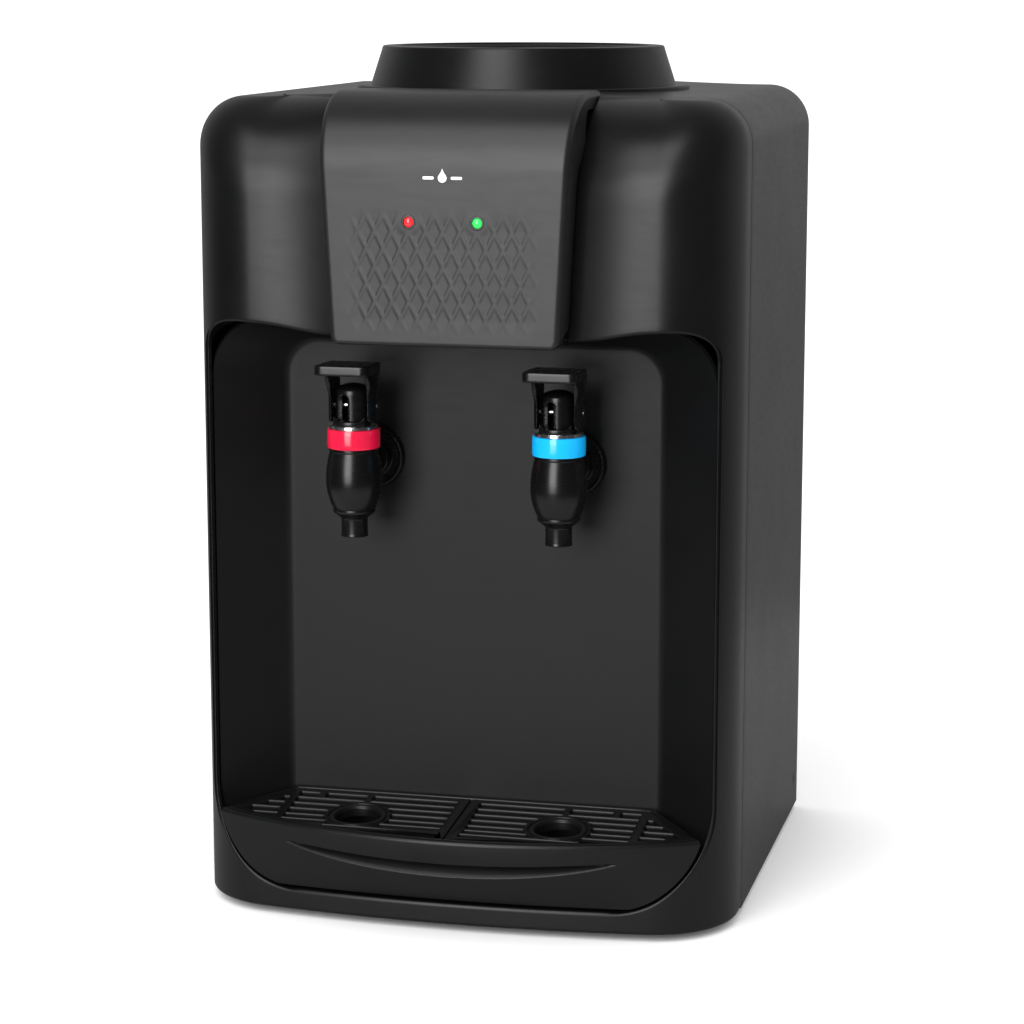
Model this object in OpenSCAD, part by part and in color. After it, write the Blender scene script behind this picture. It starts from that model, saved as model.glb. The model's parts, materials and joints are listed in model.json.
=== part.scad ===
// Countertop water dispenser: a top-loading hot and cold dispenser for a bottle.
// X runs to the right, Y to the back and Z up. The origin is on the surface that it
// stands on, under the middle of its bounding box. Millimetres.

/* [Cabinet] */
// Width of the cabinet
body_w = 300; // [292:2:320]
// Depth of the cabinet behind the front seam
body_d = 220; // [216:2:240]
// Height of the body's side edges above its bottom edge
body_h = 443; // [441:1:452]
// Wall of the plastic mouldings
wall = 2.5; // [2:0.1:3]
// Radius of the long top corners
top_r = 24; // [18:1:28]
// Rise of the crowned top at its middle
crown = 3; // [2:0.5:3.5]
// Height of the rubber feet
foot_h = 4; // [3:0.5:6]
// How far the rear fittings stand out of the rear panel
rear_proud = 2; // [1.5:0.1:3]

/* [Front moulding] */
// Reach of the chin ahead of the seam
chin_d = 66; // [64:1:68]
// Height of the chin under the bay
chin_h = 12; // [10:1:14]
// Radius of the upright front corners in plan
corner_r = 47; // [45:1:49]
// Straight side between the seam and the front corner
corner_set = 11.5; // [10.5:0.5:12.5]
// Radius of the roll from the front into the top
roll_r = 52; // [45:1:58]
// Reach of the control panel ahead of the seam
panel_d = 71; // [70:0.5:73]
// Half width of the control panel along its bottom edge
panel_hw_low = 62; // [60:1:64]
// Half width of the control panel at the top
panel_hw_high = 69.5; // [68:0.5:71]
// Radius of the control panel's roll into the top
panel_roll_r = 40; // [36:1:44]

/* [Cup bay] */
// Half width of the bay's mouth
bay_hw = 139; // [137:1:140]
// Height of the bay's top edge above the body's bottom edge
bay_top = 324; // [322:1:326]
// Radius of the mouth's upper corners
bay_r_top = 31; // [28:1:34]
// Radius of the mouth's lower corners
bay_r_low = 53; // [50:1:55]
// Half width of the bay's back wall
back_hw = 105.5; // [104:0.5:107]
// Distance of the back wall ahead of the seam
back_set = 8; // [6:0.5:10]

/* [Taps] */
// Distance of each tap from the middle
tap_x = 56.5; // [55:0.5:58]
// Distance of the tap axis ahead of the back wall
tap_reach = 38; // [36:1:40]
// Height of the spout's mouth above the body's bottom edge
spout_z = 209; // [205:1:213]
// Greatest radius of the tap barrel
barrel_r = 15.2; // [14.8:0.1:15.6]
// Radius of the lever's pin
pin_r = 1.5; // [1.4:0.1:1.6]
// Running clearance of the pin and the stem
run_gap = 0.05; // [0.04:0.01:0.08]

/* [Drip tray] */
// Reach of the tray's lip ahead of the seam
tray_d = 80; // [78:1:82]
// Height of the tray's lip above the body's bottom edge
tray_top = 51.5; // [50:0.5:53]
// Radius of the lip's long curve in plan
tray_arc_r = 302; // [290:2:320]
// Thickness of the grille
grille_t = 4; // [3.5:0.5:4.5]
// Spacing of the grille's slots
slot_pitch = 9; // [8.8:0.1:9.4]
// Radius of the hole under each tap
well_r = 12.3; // [11.5:0.1:13]

/* [Bottle seat] */
// Distance of the bottle's axis behind the seam
seat_back = 110; // [108:1:112]
// Radius of the collar's rim
rim_r = 80.5; // [79:0.5:82]
// Height of the rim above the body's bottom edge
rim_z = 468; // [467:1:470]
// Radius of the bore that guides the bottle's neck
neck_r = 28.5; // [28:0.1:29]
// Length of that bore
neck_len = 30; // [28:1:30]

/* [Cooling and heating] */
// Outer radius of the cold tank
cold_r = 62; // [60:1:62]
// Outer radius of the hot tank
hot_r = 38; // [34:1:38]
// Side of the square fan
fan_w = 92; // [88:2:92]
// Radius of the fan's blades
blade_r = 41; // [38:0.5:41]

/* [Hidden] */
$fn = 64;
eps = 0.01;
z0 = foot_h;
depth = tray_d + body_d + rear_proud;
seam_y = tray_d - depth / 2;
rear_y = seam_y + body_d;
hw = body_w / 2;
side_top = z0 + body_h;
// Plan of the front moulding: a long arc that runs into two round corners
corner_x = hw - corner_r;
front_rise = chin_d - corner_set;
front_r = (corner_x * corner_x + front_rise * front_rise - corner_r * corner_r) / (2 * (front_rise -
    corner_r));
corner_a = atan2(corner_x, front_r - front_rise);
front_cy = seam_y + front_r - chin_d;
corner_cy = seam_y - corner_set;
// Cup bay
bay_low_z = z0 + chin_h;
bay_top_z = z0 + bay_top;
back_y = seam_y - back_set;
back_r_low = 20;
liner_y = seam_y - 36;
// Taps
tap_y = back_y - tap_reach;
tz = z0 + spout_z;
arm_z = tz + 38;
ring_z = tz + 48.5;
pin_z = tz + 71.4;
paddle_z = tz + 95;
barrel_top = ring_z;
sleeve_r = 13.5;
bonnet_r = 9.5;
arm_x = bonnet_r + 0.35;
stem_r = 2;
// Drip tray
lip_y = seam_y - tray_d;
lip_z = z0 + tray_top;
tray_gap = 1.5;
tray_floor_z = bay_low_z + tray_gap;
tray_back_y = back_y - tray_gap;
// Bottle seat
seat_y = seam_y + seat_back;
plinth_z = side_top + crown;
rim_top = z0 + rim_z;
plinth_r = 95;
// Inside
cold_z = 232;
cold_top = 394;
peltier_z = 310;
plate_y = seat_y + cold_r + 12;
sink_y = plate_y + 4;
fan_y = sink_y + 15;
hot_x = -62;
hot_y = 25;
hot_z = 104;
hot_top = 200;
hose_r = 6;
hose_bore = 4.4;
nipple_r = 4;
// Rear fittings
drain_x = -45;
drain_z = 42;
pocket = 20;
pocket_y = rear_y - pocket;
switch_z = 90;
switch_x = [60, 95];
rocker_y = rear_y - 4;
trunnion_r = 1.5;
gland_x = 78;
gland_z = 42;
side_screw_y = rear_y - 17;
side_screw_z = z0 + 18;
foot_xy = [[-118, 118], [118, 118], [-100, -98], [100, -98]];
rear_screw_xz = [[-138, 44], [138, 44], [-138, 230], [138, 230], [-112, 436], [112, 436]];
black = "#232427";
satin = "#3a3c40";

// ---- outlines ----

// Points of an arc about (cx, cy), from angle a to angle b
function arc(cx, cy, r, a, b, n = 8) = [for (i = [0:n]) let (t = a + (b - a) * i / n) [cx + r * cos(t),
    cy + r * sin(t)]];
function flip(points) = [for (i = [len(points) - 1:-1:0]) [-points[i][0], points[i][1]]];
// Rounded rectangle with its own radius at the top and at the bottom
function round_rect(w, low, high, r_top, r_low) =
    let (right = concat(arc(w - r_low, low + r_low, r_low, -90, 0, 10), arc(w - r_top, high - r_top,
        r_top, 0, 90)))
    concat(right, flip(right));
function bay_outline(inset) =
    round_rect(bay_hw - inset, bay_low_z + inset, bay_top_z - inset, bay_r_top - inset, bay_r_low - inset);
// Front moulding in plan, drawn in by an inset
function plan_outline(inset) =
    let (
        right = concat(
            [for (i = [0:6]) let (t = corner_a * i / 6) [(front_r - inset) * sin(t), front_cy - (front_r -
                inset) * cos(t)]],
            [for (i = [1:10]) let (t = corner_a + (90 - corner_a) * i / 10)
                [corner_x + (corner_r - inset) * sin(t), corner_cy - (corner_r - inset) * cos(t)]],
            [[hw - inset, seam_y]]
        )
    )
    concat(right, [for (i = [len(right) - 1:-1:1]) [-right[i][0], right[i][1]]]);
// Front view of the body: upright sides, round top corners and a crowned top
function crown_rise(x) = crown * (1 - pow(x / (hw - top_r), 2));
function body_outline(inset, low) =
    let (
        right = concat(
            [[hw - inset, low]],
            arc(hw - top_r, side_top - top_r, top_r - inset, 0, 90, 10),
            [for (i = [5:-1:1]) let (x = (hw - top_r) * i / 6) [x, side_top - inset + crown_rise(x)]],
            [[0, side_top - inset + crown]]
        )
    )
    concat(right, [for (i = [len(right) - 2:-1:0]) [-right[i][0], right[i][1]]]);
// Side view: the front rolls back into the top
function roll_outline(reach, r, inset, lift = 0) =
    let (top = side_top + crown + lift - inset, front = seam_y - reach + inset)
    concat([[seam_y, z0 - 1], [front, z0 - 1]], arc(front + r - inset, top - r + inset, r - inset, 180,
        90, 10), [[seam_y, top]]);

module along_y(from, to) {
    translate([0, to, 0]) rotate([90, 0, 0]) linear_extrude(to - from) children();
}
module along_x(from, to) {
    translate([from, 0, 0]) rotate([90, 0, 90]) linear_extrude(to - from) children();
}
module rod_y(x, z, from, to, r) {
    translate([x, from, z]) rotate([-90, 0, 0]) cylinder(h = to - from, r = r);
}
module rod_x(y, z, from, to, r) {
    translate([from, y, z]) rotate([0, 90, 0]) cylinder(h = to - from, r = r);
}
module box(low, high) {
    translate(low) cube(high - low);
}

// ---- shell ----

module cabinet_wrap() {
    color(black)
    difference() {
        union() {
            difference() {
                along_y(seam_y, rear_y) polygon(body_outline(0, z0));
                along_y(seam_y - 1, rear_y + 1) polygon(body_outline(wall, z0 - 1));
            }
            translate([0, seat_y, side_top - 1]) cylinder(h = crown + 1, r = plinth_r, $fn = 96);
            for (p = rear_screw_xz) intersection() {
                box([p[0] - 10, rear_y - wall - 10, p[1] - 6], [p[0] + 10, rear_y - wall, p[1] + 10]);
                along_y(seam_y, rear_y) polygon(body_outline(1, z0));
            }
        }
        translate([0, seat_y, side_top - 10]) cylinder(h = 30, r = 74, $fn = 96);
        for (p = rear_screw_xz) rod_y(p[0], p[1], rear_y - 20, rear_y + 1, 1.9);
        for (s = [-1, 1]) {
            rod_x(side_screw_y, side_screw_z, s > 0 ? hw - 6 : -hw - 1, s > 0 ? hw + 1 : -hw + 6, 2.1);
            rod_x(side_screw_y, side_screw_z, s > 0 ? hw - 1.2 : -hw - 1, s > 0 ? hw + 1 : -hw + 1.2, 3.6);
        }
    }
}

module front_solid(inset) {
    intersection() {
        translate([0, 0, z0 - 1]) linear_extrude(body_h + 20) polygon(plan_outline(inset));
        along_y(seam_y - 100, seam_y + eps) polygon(body_outline(inset, z0));
        along_x(-hw, hw) polygon(roll_outline(chin_d, roll_r, inset));
    }
}

module front_frame() {
    color(black)
    difference() {
        union() {
            difference() {
                front_solid(0);
                front_solid(wall);
            }
            intersection() {
                front_solid(wall / 2);
                along_y(seam_y - 90, liner_y) polygon(bay_outline(-wall));
            }
        }
        along_y(seam_y - 100, liner_y + 1) polygon(bay_outline(0));
        along_y(liner_y, seam_y + 1) polygon(bay_outline(-wall - 0.3));
        box([-50, seam_y - 90, z0 + 340], [50, seam_y - 40, z0 + 405]);
    }
}

function panel_outline() = [[-panel_hw_low + 5, z0 + 316], [panel_hw_low - 5, z0 + 316], [panel_hw_low,
    z0 + 321],
    [panel_hw_high, side_top + 20], [-panel_hw_high, side_top + 20], [-panel_hw_low, z0 + 321]];

module control_panel() {
    color(satin)
    difference() {
        union() {
            difference() {
                intersection() {
                    along_y(seam_y - 100, seam_y) polygon(panel_outline());
                    along_x(-hw, hw) polygon(roll_outline(panel_d, panel_roll_r, 0, 1));
                }
                front_solid(0);
                box([-200, seam_y - 100, 0], [200, seam_y, z0 + 316]);
            }
            for (s = [-1, 1]) rod_y(s * 26, z0 + 381, seam_y - 68, seam_y - 57, 2.5);
        }
        for (s = [-1, 1]) rod_y(s * 18.4, z0 + 381, seam_y - 90, seam_y - 40, 3.2);
    }
}

module liner_plate(y, outline) {
    along_y(y, y + eps) polygon(outline);
}
function back_outline(inset) = round_rect(back_hw - inset, bay_low_z + inset, z0 + 311 - inset, 19,
    back_r_low);

module alcove_liner() {
    color(satin)
    difference() {
        hull() {
            liner_plate(liner_y, bay_outline(-wall));
            liner_plate(back_y + wall, back_outline(-wall));
        }
        hull() {
            liner_plate(liner_y - 1, bay_outline(0));
            liner_plate(back_y - eps, back_outline(0));
        }
        for (s = [-1, 1]) rod_y(s * tap_x, arm_z, back_y - 10, back_y + 10, 8.3);
    }
}

module base_pan() {
    rim = 14;
    gap = 0.3;
    color(black)
    difference() {
        translate([0, 0, z0]) linear_extrude(rim) union() {
            polygon(plan_outline(wall + gap));
            translate([-hw + wall + gap, seam_y - eps])
                square([body_w - 2 * (wall + gap), body_d - wall - gap + eps]);
        }
        translate([0, 0, z0 + wall]) linear_extrude(rim) union() {
            polygon(plan_outline(2 * wall + gap));
            translate([-hw + 2 * wall + gap, seam_y - 1])
                square([body_w - 4 * wall - 2 * gap, body_d - 2 * wall - gap + 1]);
        }
        box([-bay_hw, seam_y - 90, z0 + 7], [bay_hw, back_y + 10, z0 + 30]);
        for (p = foot_xy) translate([p[0], p[1], 0]) cylinder(h = 20, r = 3.1);
        for (i = [0:7]) box([-60, -30 + 12 * i, 0], [60, -24 + 12 * i, 20]);
        for (s = [-1, 1]) rod_x(side_screw_y, side_screw_z, min(s * 130, s * 160), max(s * 130, s * 160),
            1.9);
    }
    for (s = [-1, 1]) color(black) difference() {
        box([s > 0 ? 138 : -146.9, side_screw_y - 7, z0 + 2], [s > 0 ? 146.9 : -138, side_screw_y + 7,
            z0 + 26]);
        rod_x(side_screw_y, side_screw_z, min(s * 130, s * 160), max(s * 130, s * 160), 1.9);
    }
}

module rear_panel() {
    low = z0 + 0.5;
    color(black)
    difference() {
        union() {
            along_y(rear_y - wall, rear_y) polygon(body_outline(wall + 0.3, low));
            box([drain_x - 22, pocket_y - 2, drain_z - 22], [drain_x + 22, rear_y - eps, drain_z + 22]);
        }
        box([drain_x - 20, pocket_y, drain_z - 20], [drain_x + 20, rear_y + 1, drain_z + 20]);
        rod_y(drain_x, drain_z, pocket_y - 5, pocket_y + 5, 8.2);
        for (i = [-4:4]) box([-46, rear_y - 10, peltier_z + 10 * i - 2.5], [46, rear_y + 1, peltier_z +
            10 * i + 2.5]);
        for (i = [0:4]) box([-40, rear_y - 10, 130 + 10 * i], [40, rear_y + 1, 135 + 10 * i]);
        for (x = switch_x) box([x - 7.2, rear_y - 10, switch_z - 11.2], [x + 7.2, rear_y + 1, switch_z +
            11.2]);
        rod_y(gland_x, gland_z, rear_y - 10, rear_y + 1, 7.1);
        for (p = rear_screw_xz) rod_y(p[0], p[1], rear_y - 10, rear_y + 1, 2.1);
    }
}

module feet() {
    color("#101010")
    for (p = foot_xy) translate([p[0], p[1], 0]) {
        cylinder(h = foot_h, r = 11);
        cylinder(h = foot_h + 6, r = 3);
    }
}

module side_screws() {
    color("#555555")
    for (s = [-1, 1]) rotate([0, 0, s > 0 ? 0 : 180]) translate([hw, s * side_screw_y,
        side_screw_z]) rotate([0, -90, 0])
        difference() {
            union() {
                cylinder(h = 1.2, r = 3.4);
                cylinder(h = 11, r = 1.85);
            }
            for (a = [0, 90]) rotate([0, 0, a]) translate([-2, -0.4, -1]) cube([4, 0.8, 1.7]);
        }
}

module rear_screws() {
    color("#555555")
    for (p = rear_screw_xz) translate([p[0], rear_y, p[1]]) rotate([-90, 0, 0])
        difference() {
            union() {
                cylinder(h = 1.7, r = 3.6);
                translate([0, 0, -12]) cylinder(h = 12, r = 1.85);
            }
            for (a = [0, 90]) rotate([0, 0, a]) translate([-2.2, -0.4, 0.7]) cube([4.4, 0.8, 2]);
        }
}

// ---- bottle seat ----

module bottle_collar() {
    color(black)
    translate([0, seat_y, 0]) rotate_extrude($fn = 128) polygon([
        [94, plinth_z + 0.1], [94, plinth_z + 1.8], [89.5, plinth_z + 3.4], [rim_r, rim_top - 1.5],
        [rim_r - 1.2, rim_top], [72.6, rim_top], [71.4, rim_top - 1.2], [71.4, rim_top - 12], [69.4,
            rim_top - 12],
        [69.4, rim_top - 14], [71.4, rim_top - 14], [71.4, plinth_z - 12], [73.4, plinth_z - 12],
        [73.4, rim_top - 3], [78, rim_top - 3], [86, plinth_z + 2.6], [86, plinth_z + 0.1]]);
}

module bottle_funnel() {
    low = rim_top - 72;
    color(black)
    translate([0, seat_y, 0]) {
        rotate_extrude($fn = 128) polygon([
            [neck_r, low], [neck_r + 3, low], [neck_r + 3, low + neck_len - 4], [66, rim_top - 22],
            [69.2, rim_top - 18], [69.2, rim_top - 11.9], [71.2, rim_top - 11.9], [71.2, rim_top - 2],
                [70, rim_top - 1.4],
            [67, rim_top - 3], [66.5, rim_top - 15], [64, rim_top - 18], [neck_r + 6, low + neck_len + 2],
            [neck_r, low + neck_len]]);
    }
}

// ---- drip tray ----

// Half width of the tray at a height, which follows the bay's lower corners
function tray_hw(z, inset) =
    let (r = bay_r_low, dz = max(0, bay_low_z + r - z))
    bay_hw - tray_gap - inset - r + sqrt(max(1, r * r - dz * dz));
function tray_front(z) = lip_y + 12 * pow((lip_z - z) / (lip_z - tray_floor_z), 2);
// Plan of the tray at a height: the lip's arc in front and the bay's taper behind
function tray_outline(z, inset, front_inset) =
    let (
        w = tray_hw(z, inset),
        back_dz = max(0, bay_low_z + back_r_low - z),
        back_w = min(w, back_hw - tray_gap - inset - back_r_low + sqrt(max(1, back_r_low * back_r_low -
            back_dz * back_dz))),
        front = tray_front(z) + front_inset,
        right = [for (i = [0:8]) let (x = w * i / 8) [x, front + tray_arc_r - sqrt(tray_arc_r *
            tray_arc_r - x * x)]]
    )
    concat(right, [[back_w, tray_back_y - inset], [-back_w, tray_back_y - inset]],
        [for (i = [8:-1:1]) [-right[i][0], right[i][1]]]);
module tray_solid(inset, front_inset, low, high) {
    levels = 5;
    hull() for (i = [0:levels]) let (z = low + (high - low) * i / levels)
        translate([0, 0, z - (i == levels ? eps : 0)]) linear_extrude(eps) polygon(tray_outline(min(z,
            lip_z), inset, front_inset));
}

module drip_tray() {
    grip_z = z0 + 30;
    color(black)
    difference() {
        tray_solid(0, 0, tray_floor_z, lip_z);
        tray_solid(8, 14, tray_floor_z + wall, lip_z + 1);
        translate([0, 0, lip_z - grille_t]) linear_extrude(grille_t + 1) polygon(tray_outline(lip_z, 3.2, 3));
        translate([0, 0, grip_z]) linear_extrude(7) difference() {
            translate([-92, lip_y - 5]) square([184, 60]);
            polygon(tray_outline(grip_z + 3, 0, 7));
        }
    }
}

// One half of the grille: a solid border, slots in rows, two cross bars and the well under the tap
module grille_half(s) {
    border = 7;
    grille_edge = 8.5;
    rib = 2.6;
    color(black)
    translate([0, 0, lip_z - grille_t]) linear_extrude(grille_t) difference() {
        union() {
            difference() {
                intersection() {
                    polygon(tray_outline(lip_z, 3.6, 3.4));
                    translate([s > 0 ? 0.2 : -200.2, -200]) square([200, 200]);
                }
                intersection() {
                    polygon(tray_outline(lip_z, 3.6 + border, 3.4 + border));
                    translate([s > 0 ? 6 : -140, -200]) square([134, 200]);
                    for (i = [0:7]) translate([-150, tray_back_y - grille_edge - slot_pitch * (i + 1) + rib])
                        square([300, slot_pitch - rib]);
                }
            }
            intersection() {
                polygon(tray_outline(lip_z, 4, 4));
                union() {
                    translate([s * tap_x, tap_y]) circle(17);
                    translate([s * tap_x - 1.4, tap_y]) square([2.8, tap_reach - 6]);
                    translate([s * 100 - 2.2, -160]) square([4.4, 100]);
                }
            }
        }
        translate([s * tap_x, tap_y]) circle(well_r);
    }
}
module grille_left() {
    grille_half(-1);
}
module grille_right() {
    grille_half(1);
}

// ---- indicators ----

module led(side, tint) {
    y = seam_y - panel_d;
    color(tint) {
        rod_y(side * 18.4, z0 + 381, y + 1.6, y + 12.4, 2.75);
        translate([side * 18.4, y + 1.8, z0 + 381]) sphere(r = 2.75);
        rod_y(side * 18.4, z0 + 381, y + 11, y + 12.4, 3.1);
    }
}
module red_led() {
    led(-1, "red");
}
module green_led() {
    led(1, "lime");
}
module led_board() {
    y = seam_y - panel_d + 14;
    color("darkgreen")
    difference() {
        box([-32, y, z0 + 373], [32, y + 1.6, z0 + 389]);
        for (s = [-1, 1]) rod_y(s * 29, z0 + 377, y - 1, y + 3, 1.2);
    }
    color("white") box([-4, y + 1.6, z0 + 377], [4, y + 7.6, z0 + 384]);
}

// ---- taps: side is -1 for the hot tap and 1 for the cold one ----

module at_tap(side) {
    translate([side * tap_x, tap_y, 0]) children();
}

module tap_body(side) {
    color(black)
    at_tap(side) difference() {
        union() {
            rotate_extrude() polygon(concat(
                [[0, tz], [7.5, tz], [7.1, tz + 1.6], [7.1, tz + 10], [11.3, tz + 13.6], [11.6, tz + 14.4]],
                [for (i = [0:10]) let (t = i / 10, z = tz + 15.4 + t * (barrel_top - tz - 15.4))
                    [t < 0.5 ? barrel_r - 3.9 * pow(1 - 2 * t, 2) : barrel_r - 2.2 * pow(2 * t - 1, 2), z]],
                [[11.9, barrel_top], [11.9, barrel_top + 10.4], [0, barrel_top + 10.4]]));
            rod_y(0, arm_z, 8, tap_reach + wall + 22, 8);
            rod_y(0, arm_z, tap_reach + wall + 21, tap_reach + wall + 29, nipple_r);
        }
        translate([0, 0, tz - 1]) cylinder(h = 20, r = 4.8);
        translate([0, 0, tz + 18]) cylinder(h = 60, r = 9.2);
        rod_y(0, arm_z, 0, tap_reach + 60, 2.8);
    }
}

module tap_flanges() {
    color(black)
    for (s = [-1, 1]) at_tap(s) difference() {
        union() {
            rod_y(0, arm_z, tap_reach - 2.6, tap_reach - 0.05, 18);
            rod_y(0, arm_z, tap_reach - 4, tap_reach - 1, 16.8);
            rod_y(0, arm_z, tap_reach - 10, tap_reach - 1, 10.5);
        }
        rod_y(0, arm_z, tap_reach - 20, tap_reach + 5, 8.1);
    }
}

module tap_lock_nuts() {
    color("#dddddd")
    for (s = [-1, 1]) at_tap(s) difference() {
        translate([0, tap_reach + wall + 0.05, arm_z]) rotate([-90, 0, 0]) cylinder(h = 7, r = 13.9, $fn = 6);
        rod_y(0, arm_z, 0, 80, 8.1);
    }
}

module colour_ring(side, tint) {
    color(tint)
    at_tap(side) difference() {
        translate([0, 0, ring_z + 0.1]) rotate_extrude($fn = 96)
            polygon([[12, 0], [14, 0], [14.35, 0.5], [14.35, 9.9], [14, 10.4], [12, 10.4]]);
        cylinder(h = 400, r = 11.95);
    }
}
module hot_colour_ring() {
    colour_ring(-1, "crimson");
}
module cold_colour_ring() {
    colour_ring(1, "deepskyblue");
}

module tap_washers() {
    color("silver")
    for (s = [-1, 1]) at_tap(s) difference() {
        translate([0, 0, ring_z + 10.6]) cylinder(h = 1.9, r = 12.6);
        cylinder(h = 400, r = 8.2);
    }
}

module bonnet(side) {
    low = ring_z + 4;
    high = tz + 83.5;
    color(black)
    at_tap(side) difference() {
        union() {
            translate([0, 0, low]) cylinder(h = 9, r = 8);
            translate([0, 0, ring_z + 12.6]) cylinder(h = high - 3 - ring_z - 12.6, r = bonnet_r);
            intersection() {
                translate([0, 0, high - 12]) sphere(r = 12);
                translate([0, 0, high - 8]) cylinder(h = 10, r = bonnet_r);
            }
        }
        translate([0, 0, low - 1]) cylinder(h = 20, r = stem_r + run_gap);
        translate([0, 0, ring_z + 15]) cylinder(h = high - ring_z - 18, r = 6);
        rod_x(0, pin_z, -20, 20, pin_r + run_gap);
        rotate([0, 0, -20]) {
            box([-2.6, -20, ring_z + 16], [2.6, 0, pin_z + 3]);
            rod_y(0, pin_z + 3, -20, 0, 2.6);
        }
    }
}

module stem(side) {
    color("silver")
    at_tap(side) difference() {
        union() {
            translate([0, 0, tz + 24]) cylinder(h = 48, r = stem_r);
            translate([0, 0, pin_z - 7.5]) cylinder(h = 11.5, r = 3.4);
            translate([0, 0, tz + 22]) cylinder(h = 3, r = 3.2);
        }
        hull() for (dz = [-4.2, 0]) rod_x(0, pin_z + dz, -20, 20, pin_r + 0.2);
    }
}

module valve_cup(side) {
    color("white")
    at_tap(side) difference() {
        translate([0, 0, tz + 18.3]) rotate_extrude() polygon([
            [0, 0], [7.6, 0], [8.2, 1.2], [8.2, 3], [6, 5], [5, 12], [0, 12]]);
        translate([0, 0, tz + 21.9]) cylinder(h = 3.2, r = 3.3);
        translate([0, 0, tz + 23]) cylinder(h = 30, r = stem_r + 0.05);
    }
}

// Triangles between the rings of a swept skin; its points start at an index
function skin(rings, n, first, inward) = [
    for (i = [0:rings - 2], k = [0:n - 1], half = [0, 1])
        let (a = first + i * n + k, b = first + i * n + (k + 1) % n, t = half == 0 ? [a, a + n, b +
            n] : [a, b + n, b])
        inward ? [t[2], t[1], t[0]] : t];
// Closed tube swept along a list of points; the reference vector is parallel to no stretch of it
function unit(v) = v / norm(v);
function tangent(p, i) = unit(p[min(i + 1, len(p) - 1)] - p[max(i - 1, 0)]);
function ring_at(p, i, r, n, ref) =
    let (t = tangent(p, i), u = unit(cross(ref, t)), v = cross(t, u))
    [for (k = [0:n - 1]) let (a = 360 * k / n) p[i] + r * (cos(a) * u + sin(a) * v)];
module tube(p, r, n, ref) {
    m = len(p);
    polyhedron(
        points = [for (i = [0:m - 1]) each ring_at(p, i, r, n, ref)],
        faces = concat(
            [[for (k = [0:n - 1]) k]],
            skin(m, n, 0, false),
            [[for (k = [n - 1:-1:0]) (m - 1) * n + k]]
        ),
        convexity = 6
    );
}
// Hollow tube: the wall is one closed skin, with a ring-shaped end at each mouth
module hose(p, ref = [0.31, 0.2, 0.93]) {
    n = 8;
    m = len(p);
    inner = m * n;
    last = inner - n;
    polyhedron(
        points = concat(
            [for (i = [0:m - 1]) each ring_at(p, i, hose_r, n, ref)],
            [for (i = [0:m - 1]) each ring_at(p, i, hose_bore, n, ref)]
        ),
        faces = concat(
            skin(m, n, 0, false),
            skin(m, n, m * n, true),
            [for (k = [0:n - 1]) let (b = (k + 1) % n) [b, inner + b, inner + k, k]],
            [for (k = [0:n - 1]) let (b = (k + 1) % n) [last + k, inner + last + k, inner + last + b,
                last + b]]
        ),
        convexity = 6
    );
}
// Smooth curve through hand-chosen points, steps pieces between each pair
function curve(p, steps = 4) = let (n = len(p)) concat(
    [for (i = [0:n - 2], k = [0:steps - 1])
        let (t = k / steps, a = p[max(i - 1, 0)], b = p[i], c = p[i + 1], d = p[min(i + 2, n - 1)])
        0.5 * (2 * b + (c - a) * t + (2 * a - 5 * b + 4 * c - d) * t * t + (3 * b - a - 3 * c + d) * t *
            t * t)],
    [p[n - 1]]);

module spring(side) {
    turns = 5;
    low = tz + 31.2;
    high = ring_z + 3.4;
    color("silver")
    at_tap(side) tube([for (i = [0:turns * 10]) let (a = 36 * i)
        [4.6 * cos(a), 4.6 * sin(a), low + (high - low) * i / (turns * 10)]], 0.5, 6, [0, 0, 1]);
}

// Yoke and paddle: two arms beside the bonnet on the pin, joined by a paddle that reaches forward
module lever(side) {
    arm_low = pin_z - 9.3;
    front = -25;
    color(black)
    at_tap(side) difference() {
        union() {
            for (s = [-1, 1]) intersection() {
                union() {
                    cylinder(h = paddle_z - 3, r = sleeve_r);
                    translate([-sleeve_r, front + 8, paddle_z - 12]) cube([2 * sleeve_r, -front, 10]);
                }
                translate([s > 0 ? arm_x : -20, -30, 0]) cube([20 - arm_x, 60, 400]);
                union() {
                    rod_x(0, pin_z, -20, 20, 9.3);
                    translate([-20, -9.2, pin_z]) cube([40, 18.4, 40]);
                    difference() {
                        translate([-20, front + 6, paddle_z - 12]) cube([40, -front, 12]);
                        rod_x(front + 4, paddle_z - 14, -20, 20, 11);
                    }
                }
            }
            intersection() {
                hull() for (s = [-1, 1]) {
                    translate([s * 10, front + 5, paddle_z - 4.5]) cylinder(h = 5, r = 5, $fn = 32);
                    translate([s * 5.5, 5.5, paddle_z - 6]) cylinder(h = 5.2, r = 8, $fn = 32);
                }
                translate([-15, -40, 0]) cube([30, 80, 400]);
            }
        }
        rod_x(0, pin_z, -20, 20, pin_r + run_gap);
    }
}

module lever_pins() {
    color("silver")
    for (s = [-1, 1]) at_tap(s) rod_x(0, pin_z, -sleeve_r + 0.2, sleeve_r - 0.2, pin_r);
}

// ---- water side ----

module cold_tank() {
    color("gainsboro")
    translate([0, seat_y, 0]) {
        difference() {
            union() {
                translate([0, 0, cold_z]) cylinder(h = cold_top - cold_z, r = cold_r, $fn = 96);
                for (x = [-30, 30]) translate([x, -20, cold_z - 9]) cylinder(h = 10, r = nipple_r);
            }
            translate([0, 0, cold_z + 1.5]) cylinder(h = 300, r = cold_r - 1.5, $fn = 96);
            for (x = [-30, 30]) translate([x, -20, cold_z - 20]) cylinder(h = 30, r = 2.8);
        }
    }
}

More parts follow.
